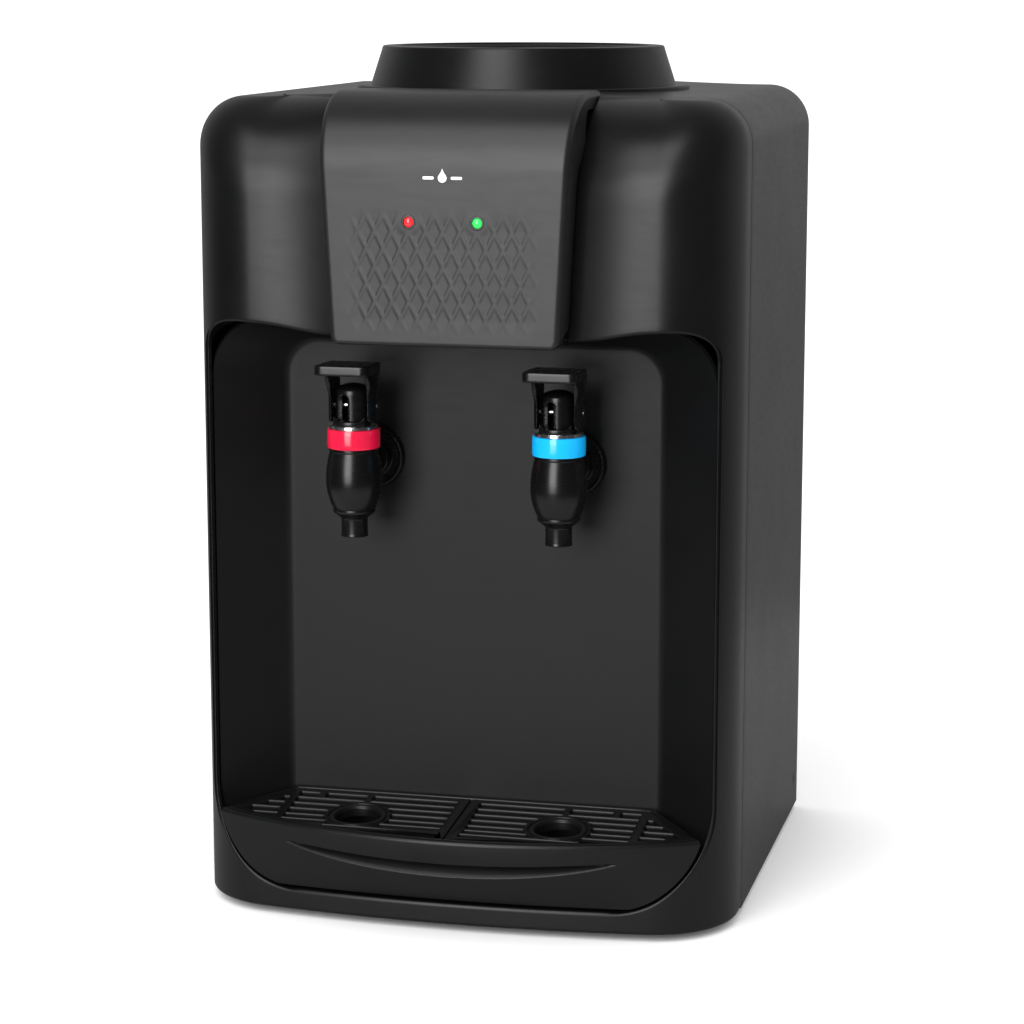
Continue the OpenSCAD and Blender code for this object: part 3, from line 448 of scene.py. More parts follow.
LOOKS = {
    "black_shell": (moulded, (0.0026, 0.0027, 0.0029), (0.0036, 0.0037, 0.0040), 0.35, 2000, 0.00002, 0.4),
    "satin_panel": (moulded, (0.0075, 0.0077, 0.0082), (0.010, 0.0102, 0.0108), 0.40, 2400, 0.00002),
    # bay_plastic is the shell's black made darker: painted shade for the sunk bay and its ceiling under the panel.
    "bay_plastic": (moulded, (0.0022, 0.0023, 0.0024), (0.0032, 0.0033, 0.0035), 0.46, 1800, 0.00002, 0.32),
    "tray_plastic": (moulded, (0.0024, 0.0025, 0.0027), (0.0034, 0.0035, 0.0038), 0.36, 2200, 0.00002, 0.4),
    "tap_plastic": (moulded, (0.0018, 0.0018, 0.0019), (0.0028, 0.0028, 0.0030), 0.27, 700, 0.0000015),
    "red_ring": (coloured_gloss, (0.58, 0.007, 0.040), (0.52, 0.005, 0.033)),
    "blue_ring": (coloured_gloss, (0.003, 0.36, 0.76), (0.003, 0.32, 0.70)),
    "green_rocker": (coloured_gloss, (0.02, 0.33, 0.09), (0.015, 0.27, 0.07), 0.22, 0.4),
    "chrome_trim": (metal, (0.78, 0.78, 0.79), (0.86, 0.86, 0.87), 0.2, (400, 400, 1500), 0.00001),
    "spring_steel": (metal, (0.42, 0.42, 0.43), (0.56, 0.56, 0.57), 0.3, (900, 900, 900), 0.00002),
    "black_steel": (metal, (0.03, 0.03, 0.032), (0.05, 0.05, 0.052), 0.4, (900, 900, 900), 0.00002),
    "rubber_black": (rubber, (0.010, 0.010, 0.010), (0.022, 0.022, 0.021)),
    "silicone_white": (soft_white, (0.80, 0.79, 0.74), (0.70, 0.69, 0.63), 0.42, 0.15),
    "white_plastic": (soft_white, (0.83, 0.83, 0.81), (0.76, 0.76, 0.74), 0.38),
    "tank_steel": (metal, (0.56, 0.56, 0.57), (0.67, 0.67, 0.68), 0.28, (30, 30, 2400), 0.00003),
    "foam_white": (beaded_foam,),
    "alloy": (metal, (0.68, 0.69, 0.70), (0.80, 0.81, 0.82), 0.34, (30, 30, 1800), 0.00003),
    "ceramic_white": (soft_white, (0.85, 0.85, 0.83), (0.79, 0.79, 0.77), 0.5),
    "heater_mica": (soft_white, (0.42, 0.33, 0.19), (0.27, 0.20, 0.10), 0.6),
    "circuit_board": (board,),
    "red_lens": (lens, (0.75, 0.02, 0.03), (0.45, 0.01, 0.015), (1.0, 0.04, 0.04)),
    "green_lens": (lens, (0.03, 0.62, 0.10), (0.01, 0.35, 0.05), (0.06, 1.0, 0.14)),
}
MATERIALS = {slot: make(slot, *values) for slot, (make, *values) in LOOKS.items()}

# ---- outlines that several mouldings share ----


def plan(a):
    """Point and normal angle of the front moulding's outline at an arc length from the middle."""
    side, a = np.sign(a), np.abs(a)
    on_arc = a < ARC_END
    theta = np.where(on_arc, a / FRONT_R, np.minimum(CORNER_A + (a - ARC_END) / CORNER_R, HALF_PI))
    x = np.where(on_arc, FRONT_R * np.sin(theta), CORNER_X + CORNER_R * np.sin(theta))
    corner_y = SEAM_Y - CORNER_SET - CORNER_R * np.cos(theta)
    y = np.where(on_arc, CHIN_Y + FRONT_R - FRONT_R * np.cos(theta), corner_y)
    return side * x, y + np.maximum(a - CORNER_END, 0), side * theta


def plan_length(x):
    """The arc length at which the outline reaches an x."""
    size = np.abs(x)
    corner = ARC_END + CORNER_R * (np.arcsin(np.clip((size - CORNER_X) / CORNER_R, -1, 1)) - CORNER_A)
    arc = FRONT_R * np.arcsin(np.clip(size / FRONT_R, -1, 1))
    return np.sign(x) * np.where(size < FRONT_R * math.sin(CORNER_A), arc, corner)


def crown_z(x):
    """Height of the crowned top, level where it meets the rounded sides."""
    return SIDE_TOP + CROWN * (1 - np.clip(np.abs(x) / CROWN_HW, 0, 1) ** 2) ** 2


def arc_points(cx, cy, r, start, end, count):
    angles = np.radians(np.linspace(start, end, count))
    return [(cx + r * math.cos(a), cy + r * math.sin(a)) for a in angles]


def circle(cx, cy, r, count):
    return arc_points(cx, cy, r, 0, 360, count + 1)[:-1]


def quarter(r, count):
    """A quarter round at even angles: how far it lies in from the side, and in from the end."""
    return [(r * (1 - math.cos(q)), r * (1 - math.sin(q))) for q in np.linspace(0, HALF_PI, count)]


def loop_half(hw, low, high, r_top, r_low, counts):
    """Right half of a rounded rectangle from its top middle to its bottom middle, in (x, z)."""
    top, corner, side, low_corner, bottom = counts
    path = [(x, high) for x in np.linspace(0, hw - r_top, top, endpoint=False)]
    path += arc_points(hw - r_top, high - r_top, r_top, 90, 0, corner)
    path += [(hw, z) for z in np.linspace(high - r_top, low + r_low, side)[1:]]
    path += arc_points(hw - r_low, low + r_low, r_low, 0, -90, low_corner)[1:]
    path += [(x, low) for x in np.linspace(hw - r_low, 0, bottom)[1:]]
    return np.array(path)


def both_sides(half):
    """The whole loop from its right half, which starts and ends on the middle line."""
    left = half[-2:0:-1].copy()
    left[..., 0] *= -1
    return np.vstack([half, left])


def panel_edge(z):
    """Half width of the control panel at a height."""
    low = PANEL_LOW.z + 5 * MM
    return PANEL_HW_LOW + (PANEL_HW_TOP - PANEL_HW_LOW) * np.clip((z - low) / (PANEL_HIGH.z - low), -0.1, 1)


# ---- front moulding ----

PILLOW = 14 * MM
PILLOW_SPAN = 60 * MM
PILLOW_FROM, PILLOW_FULL = BAY_TOP - 60 * MM, BAY_TOP - 30 * MM
PILLOW_FADE = (1.3, 2.2)
GROOVE_GAP = 0.9 * MM
GROOVE_R = 0.9 * MM
POCKET = 2.2 * MM
ARCH_DROP = 8 * MM
MOUTH_LIFT = 2 * MM
EDGE_TOP = BAY_TOP + MOUTH_LIFT
UPPER_X, UPPER_Z = BAY_HW - BAY_R_TOP, EDGE_TOP - BAY_R_TOP
LOWER_X, LOWER_Z = BAY_HW - BAY_R_LOW, BAY_LOW + BAY_R_LOW
EDGE_OUT = 2.2 * MM
EDGE_IN = 1.6 * MM
SEAM_R = 0.8 * MM
RIM_R = 2 * MM
SHELL_ROWS = 60
PULL = 0.6  # how far a Bezier handle reaches towards the corner that it rounds
REAR_R = 1.5 * MM
CAP_START = CROWN_HW * 0.8
UNROLL = (TOP_Z - ROLL_R - BASE_Z, ROLL_R * HALF_PI, SEAM_Y - CHIN_Y - ROLL_R)


def unrolled(w):
    """Length up the front for the surface parameter: 1 starts the roll, 2 ends it, 3 is the top seam."""
    return np.clip(w, 0, 1) * UNROLL[0] + np.clip(w - 1, 0, 1) * UNROLL[1] + np.clip(w - 2, 0, 1) * UNROLL[2]


def rolled(s):
    """The surface parameter at a length up the front."""
    first, second = UNROLL[0], UNROLL[0] + UNROLL[1]
    over = np.where(s < second, 1 + (s - first) / UNROLL[1], 2 + (s - second) / UNROLL[2])
    return np.where(s < first, s / first, over)


def shell_frame(a, w):
    """Point and outward normal of the bare front moulding."""
    x, y, theta = plan(a)
    r = TOP_R + (ROLL_R - TOP_R) * np.cos(theta) ** 2
    rim_x = x - r * np.sin(theta)
    straight = crown_z(rim_x) - r - BASE_Z
    phi = np.clip(w - 1, 0, 1) * HALF_PI
    inset = r * (1 - np.cos(phi))
    px, py = x - inset * np.sin(theta), y + inset * np.cos(theta)
    pz = BASE_Z + np.clip(w, 0, 1) * straight + r * np.sin(phi)
    cap = np.clip(w - 2, 0, 1)
    rim_end = plan_length(CAP_START * 1.075)
    spread = CAP_START + (CROWN_HW - CAP_START) * np.clip((np.abs(a) - rim_end) / (PLAN_END - rim_end), 0, 1)
    seam_x = np.where(np.abs(rim_x) < CAP_START, rim_x, np.sign(a) * np.maximum(spread, CAP_START))
    px, py = px + (seam_x - px) * cap, py + (SEAM_Y - py) * cap
    pz = np.where(cap > 0, crown_z(px), pz)
    normal = np.stack([np.sin(theta) * np.cos(phi), -np.cos(theta) * np.cos(phi), np.sin(phi)], -1)
    return np.stack([px, py, pz], -1), normal


def shell_sink(p, w):
    """How far the skin lies under the bare shape: the wings' pillows, the groove and the panel's pocket."""
    d = np.abs(p[..., 0]) - panel_edge(p[..., 2]) - GROOVE_GAP
    high = smoothstep(p[..., 2], PILLOW_FROM, PILLOW_FULL)
    pillow = PILLOW * (1 - np.clip(d / PILLOW_SPAN, 0, 1)) ** 2 * (1 - smoothstep(w, *PILLOW_FADE))
    across = GROOVE_R - np.clip(d, 0, GROOVE_R)
    shoulder = GROOVE_R - np.sqrt(GROOVE_R**2 - across**2)
    under = POCKET * (d < -DOUBLE)
    return high * (pillow + shoulder + under)


def shell_point(a, w):
    p, normal = shell_frame(a, w)
    return p - normal * shell_sink(p, w)[..., None]


def a_at(x, w):
    """Arc length at which the surface reaches an x at the level w."""
    table = np.linspace(0, PLAN_END, 900)
    xs = shell_frame(table, np.full_like(table, w))[0][:, 0]
    return np.interp(x, xs, table)


def bay_arch(x, z):
    """Lowers the bay's upper edge towards the panel."""
    near = 1 - smoothstep(np.abs(x), PANEL_HW_LOW - 4 * MM, UPPER_X + 4 * MM)
    return z - ARCH_DROP * near * (z > UPPER_Z)


def top_stations():
    """Pairs (x at the bay's edge, x at the top seam) that follow the panel's edge line."""
    shift = PANEL_HW_TOP - PANEL_HW_LOW
    edge = PANEL_HW_LOW + GROOVE_GAP
    under = [(x, x * PANEL_HW_TOP / PANEL_HW_LOW) for x in np.linspace(0, PANEL_HW_LOW - 4 * MM, 8)]
    steps = (-0.6, -0.012, 0, 0.12, 0.35, 0.7, 1.1, 1.6, 2.2, 3.0, 4.2, 5.6, 7.2, 9, 11, 13.5)
    groove = [(edge + d * MM, edge + d * MM + shift) for d in steps]
    wing = np.linspace(groove[-1], (UPPER_X, CAP_START), 20)[1:]
    return under + groove + [tuple(pair) for pair in wing]


def shell_stations(rows):
    """Right half of the moulding: for every station its (a, w) at each row from the bay out."""
    out = []
    t = np.linspace(0, 1, rows)
    s_top = unrolled(3 - SEAM_R / UNROLL[2])
    for x_in, x_out in top_stations():
        s_in = unrolled((bay_arch(x_in, EDGE_TOP) + EDGE_OUT - BASE_Z) / UNROLL[0])
        w = rolled(s_in + (s_top - s_in) * t)
        z = shell_frame(plan_length(np.full(rows, x_in)), w)[0][:, 2]
        x = x_in + (x_out - x_in) * np.clip((z - z[0]) / (z[-1] - z[0]), 0, 1)
        out.append((np.array([a_at(xi, wi) for xi, wi in zip(x, w)]), w))
    side_end = PLAN_END - SEAM_R
    side = np.linspace(UPPER_Z, LOWER_Z, 40)[1:]
    flat = np.linspace(LOWER_X, 0, 18)[1:]
    inner = arc_points(UPPER_X, UPPER_Z, BAY_R_TOP + EDGE_OUT, 90, 0, 84)[1:]
    inner += [(BAY_HW + EDGE_OUT, z) for z in side]
    inner += arc_points(LOWER_X, LOWER_Z, BAY_R_LOW + EDGE_OUT, 0, -90, 49)[1:]
    inner += [(x, BAY_LOW - EDGE_OUT) for x in flat]
    outer = [(a, s_top) for a in np.linspace(out[-1][0][-1], side_end, 30)[1:]]
    down = [*np.linspace(unrolled(2), UNROLL[0], 27), *np.linspace(UNROLL[0], UPPER_Z - BASE_Z, 28)[1:]]
    down += [*(side - BASE_Z), *np.linspace(side[-1] - BASE_Z, RIM_R, 25)[1:]]
    outer += [(side_end, s) for s in down]
    outer += [(a, RIM_R) for a in np.linspace(side_end, plan_length(LOWER_X), 25)[1:]]
    outer += [(plan_length(x), RIM_R) for x in flat]
    for (x, z), (a_out, s_out) in zip(inner, outer):
        a_in, s_in = plan_length(x), z - BASE_Z
        out.append((a_in + (a_out - a_in) * t, rolled(s_in + (s_out - s_in) * t)))
    return out


def bezier(p0, p1, p2, p3, steps):
    return [p0 * (1 - t) ** 3 + p1 * 3 * t * (1 - t) ** 2 + p2 * 3 * t * t * (1 - t) + p3 * t**3
            for t in np.linspace(0, 1, steps + 1)[1:]]


def shell_half():
    """Rows of points for the right half, from the liner's mouth, over the bay's edge, out to the seam."""
    back = np.array([0, 1.0, 0])
    columns = []
    for a, w in shell_stations(SHELL_ROWS):
        skin = shell_point(a, w)
        start, ahead = skin[0], skin[0] - skin[1]
        ahead = ahead / np.linalg.norm(ahead)
        edge = start + ahead * EDGE_OUT
        wall_x, wall_z = edge[0], edge[2]
        inner = edge + back * EDGE_IN
        lip = bezier(start, start + ahead * EDGE_OUT * PULL, inner - back * EDGE_IN * PULL, inner, 8)
        mouth_z = wall_z + (EDGE_TOP - bay_arch(wall_x, EDGE_TOP)) * (wall_z > UPPER_Z)
        mouth_z -= MOUTH_LIFT * smoothstep(wall_z, LOWER_Z, UPPER_Z)
        mouth = np.array([wall_x, LINER_Y + 1 * MM, mouth_z])
        wall = [inner + (mouth - inner) * t for t in (1.0, 0.66, 0.33)]
        normal = shell_frame(a[-1:], w[-1:])[1][0]
        low_edge = skin[-1][2] < BASE_Z + 3 * MM
        way, reach = (np.array([0, 0, -1.0]), RIM_R) if low_edge else (back, SEAM_R)
        turn = [skin[-1] + way * (reach - end) - normal * side for side, end in quarter(reach, 6)[1:]]
        columns.append(wall + lip[::-1] + list(skin) + turn)
    return np.array(columns)


def front_shell():
    loop = both_sides(shell_half())
    count, depth = loop.shape[:2]
    obj = new_object("front_shell", loop.reshape(-1, 3), grid_faces(count, depth, close_rows=True), sharp=50)
    thicken(obj, 50)
    stand_for(obj, "front_frame")


# ---- cabinet ----


def body_half():
    """Right half of the body's front view, from the top middle down to the bottom edge."""
    path = [(x, crown_z(x)) for x in np.linspace(0, CROWN_HW, 30, endpoint=False)]
    path += arc_points(CROWN_HW, SIDE_TOP - TOP_R, TOP_R, 90, 0, 25)
    path += [(HALF_W, z) for z in np.linspace(SIDE_TOP - TOP_R, BASE_Z, 24)[1:]]
    return np.array(path)


def cabinet():
    half = body_half()
    loop = np.vstack([half[:0:-1] * (-1, 1), half])
    tangent = np.gradient(loop, axis=0)
    normal = np.stack([-tangent[:, 1], tangent[:, 0]], -1)
    normal /= np.linalg.norm(normal, axis=1)[:, None]
    rows = [(SEAM_Y + end, inset) for inset, end in quarter(SEAM_R, 6)[::-1]]
    rows += [(y, 0.0) for y in np.linspace(SEAM_Y + SEAM_R, REAR_Y - REAR_R, 26)[1:]]
    rows += [(REAR_Y - end, inset) for inset, end in quarter(REAR_R, 6)[1:]]
    verts = []
    for y, inset in rows:
        verts += [(x, y, z) for x, z in loop - normal * inset]
    obj = new_object("cabinet_shell", verts, grid_faces(len(rows), len(loop)), sharp=50)
    thicken(obj, 50)
    seat = (0, SEAT_Y)
    ring = mm([(74, -8), (74, 0), (95, 0.05, 1.2), (95, -8)], TOP_Z)
    plinth = lathe("plinth", ring, seat, 128, closed=True)
    hole = lathe("hole", mm([(0, -30), (75, -30), (75, 10), (0, 10)], TOP_Z), seat, 128)
    cut(obj, [hole, *screw_recesses()], sharp=50)
    stand_for(join("cabinet_shell", [obj, plinth], 50), "cabinet_wrap")


def screw_recesses():
    low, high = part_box("side_screws")
    at = middle("side_screws")
    ring = circle(at.y, at.z, (high.z - low.z) / 2 + 0.25 * MM, 32)
    ends = [sorted((side * (HALF_W - 1.2 * MM), side * (HALF_W + 3 * MM))) for side in (-1, 1)]
    return [prism("recess", ring, *pair, "X") for pair in ends]


# ---- control panel ----

SKIRT = 22 * MM
PANEL_BACK = 9 * MM
PANEL_WALL = 3.5 * MM
PANEL_CORNER_R = 5 * MM
PANEL_FOOT_R = 2.2 * MM
FLANK_R = 3.4 * MM
LATTICE_STEP = 0.5 * MM
PANEL_COLUMNS = 234
LATTICE_PITCH = 9.2 * MM
LATTICE_HW = 55 * MM
LATTICE_LOW = PANEL_LOW.z + PANEL_CORNER_R
LATTICE_HIGH = PANEL_LOW.z + 74 * MM
LATTICE_DEPTH = 0.17 * MM
DIAMOND_EDGE = (0.30, 0.45)
LEAN_ACROSS, LEAN_ALONG = 0.5, 0.3
LED_Z = middle("red_led").z
LED_X = middle("green_led").x


def lattice(x, z):
    """Depth of the shallow diamonds pressed into the panel, which lean a little to one side."""
    u, v = x / LATTICE_PITCH, (z - LATTICE_LOW) / (2 * LATTICE_PITCH)
    along, across = (u + v) % 1 - 0.5, (u - v) % 1 - 0.5
    depth = LATTICE_DEPTH * (1 + LEAN_ACROSS * across - LEAN_ALONG * along)
    for part in (along, across):
        depth *= 1 - smoothstep(np.abs(part), *DIAMOND_EDGE)
    depth *= smoothstep(LATTICE_HW - np.abs(x), 0, 14 * MM)
    depth *= smoothstep(z, LATTICE_LOW, LATTICE_LOW + 12 * MM)
    depth *= 1 - smoothstep(z, LATTICE_HIGH - 12 * MM, LATTICE_HIGH)
    return depth * smoothstep(np.hypot(np.abs(x) - LED_X, z - LED_Z), 4.5 * MM, 8 * MM)


def panel_profile():
    """Side view of the panel's face: (y, z, roll angle) from its bottom edge to the top seam."""
    roll_z, top_y = PANEL_HIGH.z - PANEL_ROLL_R, PANEL_LOW.y + PANEL_ROLL_R
    fine = [PANEL_LOW.z + rise for rise, _ in quarter(PANEL_FOOT_R, 9)]
    dense = np.arange(fine[-1] + LATTICE_STEP, LATTICE_HIGH, LATTICE_STEP)
    rest = np.linspace(LATTICE_HIGH + LATTICE_STEP, roll_z, 9)
    profile = [(PANEL_LOW.y, z, 0.0) for z in (*fine, *dense, *rest)]
    for q in np.linspace(0, HALF_PI, 36)[1:]:
        profile.append((top_y - PANEL_ROLL_R * math.cos(q), roll_z + PANEL_ROLL_R * math.sin(q), q))
    return profile + [(y, PANEL_HIGH.z, HALF_PI) for y in np.linspace(top_y, SEAM_Y - SEAM_R, 9)[1:]]


def drawn_in(radius, z):
    """How far a rounded lower edge of the panel draws in at a height."""
    below = max(0.0, PANEL_LOW.z + radius - z)
    return radius - math.sqrt(max(0.0, radius**2 - below**2))


def panel_face():
    flank = mm([(0, 7), (0, 5)]) + quarter(FLANK_R, 9)
    face = np.linspace(-1, 1, PANEL_COLUMNS)[1:-1]
    verts = []
    profile = panel_profile()
    for y, z, roll in profile:
        hw = panel_edge(z) - drawn_in(PANEL_CORNER_R, z)
        sunk = drawn_in(PANEL_FOOT_R, z)
        above_bay = smoothstep(z, EDGE_TOP - 5 * MM, EDGE_TOP + 3 * MM)
        skirt = PANEL_BACK + SKIRT * above_bay * (1 - smoothstep(roll, 0.9, 1.5))
        left = [(PANEL_WALL - hw, PANEL_BACK), (PANEL_WALL - hw, skirt), (-hw, skirt)]
        left += [(inset - hw, depth) for inset, depth in flank]
        right = [(-x, depth) for x, depth in reversed(left)]
        across = left + [((hw - FLANK_R) * f, 0.0) for f in face] + right
        for x, depth in across:
            pressed = lattice(x, z) if roll == 0 and depth == 0 else 0.0
            total = max(depth, sunk) if depth > 0 else sunk + pressed
            verts.append((x, y + total * math.cos(roll), z - total * math.sin(roll)))
    faces = grid_faces(len(profile), len(across), close_cols=True, ends=True)
    obj = new_object("panel_face", verts, faces, sharp=60)
    hole = mm([(0, -5), (3.25, -5), (3.25, 20), (0, 20)], PANEL_LOW.y)
    cut(obj, [lathe_y("led_hole", hole, (side * LED_X, LED_Z), 48) for side in (-1, 1)], sharp=60)
    stand_for(obj, "control_panel")


def droplet_mark():
    """Generic pad-printed sign: a water drop between two short dashes."""
    y, z = PANEL_LOW.y, PANEL_LOW.z + 88 * MM
    drop_r, half = 2.3 * MM, 0.75 * MM
    ring = []
    for a in np.linspace(0, 2 * math.pi, 49)[:-1]:
        pull = max(0.0, math.sin(a)) ** 6
        ring.append((drop_r * math.cos(a) * (1 - 0.9 * pull), z + drop_r * math.sin(a) + 2.6 * MM * pull))
    outlines = [ring]
    for x0, x1 in ((-4.6 * MM, -10.5 * MM), (4.6 * MM, 10.5 * MM)):
        corners = ((x0, z - half), (x1, z - half), (x1, z + half), (x0, z + half))
        outlines.append(fillet([(*corner, half * 0.9) for corner in corners], True))
    parts = [prism("mark", outline, y - 0.12 * MM, y + 0.5 * MM, "Y") for outline in outlines]
    obj = join("droplet_mark", parts)
    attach(obj, BODY_OF["control_panel"])
    dress(obj, "white_plastic")


def indicators():
    for node, side in (("red_led", -1), ("green_led", 1)):
        low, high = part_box(node)
        axis = (side * LED_X, LED_Z)
        r = 2.75 * MM
        dome = [(r * math.sin(q), low.y + r * 0.75 * (1 - math.cos(q))) for q in np.linspace(0, HALF_PI, 12)]
        dome += mm([(2.75, -1.4), (3.1, -1.4), (3.1, 0), (0, 0)], high.y)
        stand_for(lathe_y(node + "_lens", dome, axis, 48), node)
        bezel = mm([(2.8, -0.35, 0.2), (3.75, -0.3, 0.35), (3.85, 0.3), (3.2, 3), (2.8, 3)], PANEL_LOW.y)
        rim = lathe_y(node + "_rim", bezel, axis, 48, closed=True)
        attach(rim, BODY_OF[node])
        dress(rim, "tap_plastic")


# ---- cup bay ----


def bay_liner():
    counts = (30, 24, 40, 30, 20)
    mouth = both_sides(loop_half(BAY_HW, BAY_LOW, BAY_TOP, BAY_R_TOP, BAY_R_LOW, counts))
    soft = 2.2 * MM

    def at(loop, y):
        return np.column_stack([loop[:, 0], np.full(len(loop), y), loop[:, 1]])

    def back(inset):
        radii = BACK_R_TOP - inset * 0.6, BACK_R_LOW - inset * 0.6
        half = loop_half(BACK_HW - inset, BAY_LOW + inset, BACK_TOP - inset, *radii, counts)
        return at(both_sides(half), BACK_Y)

    front, corner, plane = at(mouth, LINER_Y), back(0), back(soft)
    lean = 1 - soft / (BACK_Y - LINER_Y)
    rows = [front + (corner - front) * t for t in np.linspace(0, lean, 10)]
    start = rows[-1]
    rows += bezier(start, start + (corner - start) * PULL, plane + (corner - plane) * PULL, plane, 8)
    rows.append(back(soft + 3 * MM))
    count = len(mouth)
    faces = grid_faces(len(rows), count, close_cols=True)
    faces.append(tuple(range((len(rows) - 1) * count, len(rows) * count)))
    obj = new_object("bay_shell", np.vstack(rows), faces, sharp=50)
    flip_inward(obj)
    thicken(obj, 50)
    stand_for(obj, "alcove_liner")


def flip_inward(obj):
    """Turns an open bowl so that its seen side faces -Y."""
    edit = bmesh.new()
    edit.from_mesh(obj.data)
    largest = max(edit.faces, key=lambda f: f.calc_area())
    if largest.normal.y > 0:
        bmesh.ops.reverse_faces(edit, faces=edit.faces)
    edit.to_mesh(obj.data)
    edit.free()


# ---- drip tray and grilles ----

TRAY_GAP = 1.5 * MM
LIP_Y = TRAY_LOW.y
LIP_Z = TRAY_HIGH.z
TRAY_FLOOR = TRAY_LOW.z
TRAY_BACK = TRAY_HIGH.y
TRAY_ARC_R = 302 * MM
GRILLE_T = 4 * MM
BACK_RISE = 5 * MM
RISE_FROM = -122 * MM
FLUSH = 1.2 * MM
GRIP_HW = 93 * MM
GRIP_DROP = 13.5 * MM
GRIP_RISE = 3.5 * MM
GRIP_DEPTH = 8.5 * MM
GRIP_SLOPE = 1.2
TRAY_ROWS = 170
SLOT_PITCH = 7.6 * MM
RIB = 1.9 * MM
SLOT_R = 1.1 * MM
SLOT_MIN = 1.5 * MM


def tray_hw(z, inset=0.0):
    """Half width of the tray at a height, which follows the bay's lower corners."""
    dz = max(0.0, BAY_LOW + BAY_R_LOW - z)
    return BAY_HW - TRAY_GAP - inset - BAY_R_LOW + math.sqrt(BAY_R_LOW**2 - dz**2)


def tray_back_hw(z, inset=0.0):
    dz = max(0.0, BAY_LOW + BACK_R_LOW - z)
    corner = math.sqrt(max(1e-6, BACK_R_LOW**2 - dz**2))
    return min(tray_hw(z, inset), BACK_HW - TRAY_GAP - inset - BACK_R_LOW + corner)


def lip_front(x, z, inset=0.0):
    """Front of the tray: the lip's arc in plan, drawn back below it until it is flush with the chin."""
    lip = LIP_Y + TRAY_ARC_R - math.sqrt(TRAY_ARC_R**2 - x**2)
    flush = plan(plan_length(x))[1] + FLUSH
    return inset + lip + (flush - lip) * ((LIP_Z - z) / (LIP_Z - TRAY_FLOOR)) ** 2


def grip(x, z):
    """Depth of the finger recess under the lip: a crescent with a crisp upper edge."""
    f = min(1.0, abs(x) / GRIP_HW)
    d = LIP_Z - GRIP_DROP - z + GRIP_RISE * f**2
    if d <= 0:
        return 0.0
    deep = GRIP_DEPTH * (1 - f**2) ** 0.8
    back_out = deep - GRIP_SLOPE * max(0.0, d - 1 * MM)
    return min(deep * min(1.0, d / (1.2 * MM)), max(0.0, back_out))


def tray_loop(z, inset=0.0, front_inset=0.0, with_grip=False, count=150):
    """Closed plan loop of the tray at a height, from the left front corner round to it again."""
    w, back_w = tray_hw(z, inset), tray_back_hw(z, inset)
    points = []
    for f in np.linspace(-1, 1, count):
        x = w * math.sin(f * HALF_PI) if abs(f) > 0.9 else w * f * math.sin(0.9 * HALF_PI) / 0.9
        points.append([x, lip_front(x, z, front_inset) + (grip(x, z) if with_grip else 0.0), z])
    back_y = TRAY_BACK - inset
    side = np.linspace(0, 1, 14)
    right = [[w + (back_w - w) * t, points[-1][1] + (back_y - points[-1][1]) * t, z] for t in side[1:]]
    left = [[-p[0], p[1], p[2]] for p in reversed(right)]
    back = [[back_w * (1 - 2 * t), back_y, z] for t in np.linspace(0, 1, 20)[1:-1]]
    return np.array(points + right + back + left)


def drip_tray():
    round_r = 2.2 * MM
    rows = [tray_loop(TRAY_FLOOR, 2 * MM, 2 * MM)]
    heights = np.linspace(TRAY_FLOOR + 0.4 * MM, LIP_Z - round_r, TRAY_ROWS)
    rows += [tray_loop(z, with_grip=True) for z in heights]
    rim = [(LIP_Z - round_r, side, LIP_Z - end) for side, end in quarter(round_r, 7)[1:]]
    steps = mm([(2.9, 0), (3.3, -0.5), (3.3, -4), (8, -4), (8.2, -6)], LIP_Z)
    rim += [(LIP_Z, side, z) for side, z in steps]
    for plan_z, inset, z in rim:
        loop = tray_loop(plan_z, inset, inset)
        loop[:, 2] = z
        rows.append(loop)
    basin_top, basin_floor = LIP_Z - GRILLE_T - 2 * MM, TRAY_FLOOR + 3 * MM
    for t in np.linspace(0, 1, 8)[1:]:
        z = max(basin_top + (basin_floor - basin_top) * t, basin_floor)
        rows.append(tray_loop(z, 9 * MM, (11 + 3 * t) * MM))
    faces = grid_faces(len(rows), len(rows[0]), close_cols=True, ends=True)
    obj = new_object("tray_body", np.vstack(rows), faces, sharp=42)
    rise_to_back(obj)
    stand_for(obj, "drip_tray")


def rise_to_back(obj):
    """Tilts the tray's rim and grille up a little behind the lip, so that water runs forward."""
    for v in obj.data.vertices:
        behind = min(1.0, max(0.0, (v.co.y - RISE_FROM) / (TRAY_BACK - RISE_FROM)))
        share = min(1.0, max(0.0, (v.co.z - LIP_Z + 9 * MM) / (5 * MM)))
        v.co.z += BACK_RISE * behind * share
    obj.data.update()


def side_x(y, z, inset):
    """Inner limit of the tray's tapering side at a depth y."""
    w, back_w = tray_hw(z, inset), tray_back_hw(z, inset)
    front = lip_front(w, z)
    t = min(1.0, max(0.0, (y - front) / (TRAY_BACK - inset - front)))
    return w + (back_w - w) * t


def slot_outline(y0, y1, x_low, x_high, front_inset):
    """A slot between two bars: its ends may follow the well's ring or the tapering side."""

    def at(u, y):
        x = x_low(y) + (x_high(y) - x_low(y)) * u
        return x, max(y, lip_front(x, LIP_Z, front_inset))

    steps = np.linspace(0, 1, 8)
    bottom, top = [at(u, y0) for u in steps], [at(u, y1) for u in steps]
    keep = [i for i in range(len(steps)) if top[i][1] - bottom[i][1] > SLOT_MIN]
    if len(keep) < 4:
        return None
    whole = len(keep) == len(steps)
    bottom, top = [bottom[i] for i in keep], [top[i] for i in reversed(keep)]
    ends = [[at(u, (y0 + y1) / 2)] if whole else [] for u in (1, 0)]
    points = bottom + ends[0] + top + ends[1]
    if abs(bottom[-1][0] - bottom[0][0]) < 2 * SLOT_MIN:
        return None
    rounded = (0, len(bottom) - 1, len(bottom) + 1, len(points) - 2)
    return fillet([(*p, SLOT_R) if i in rounded else p for i, p in enumerate(points)], True, 3)


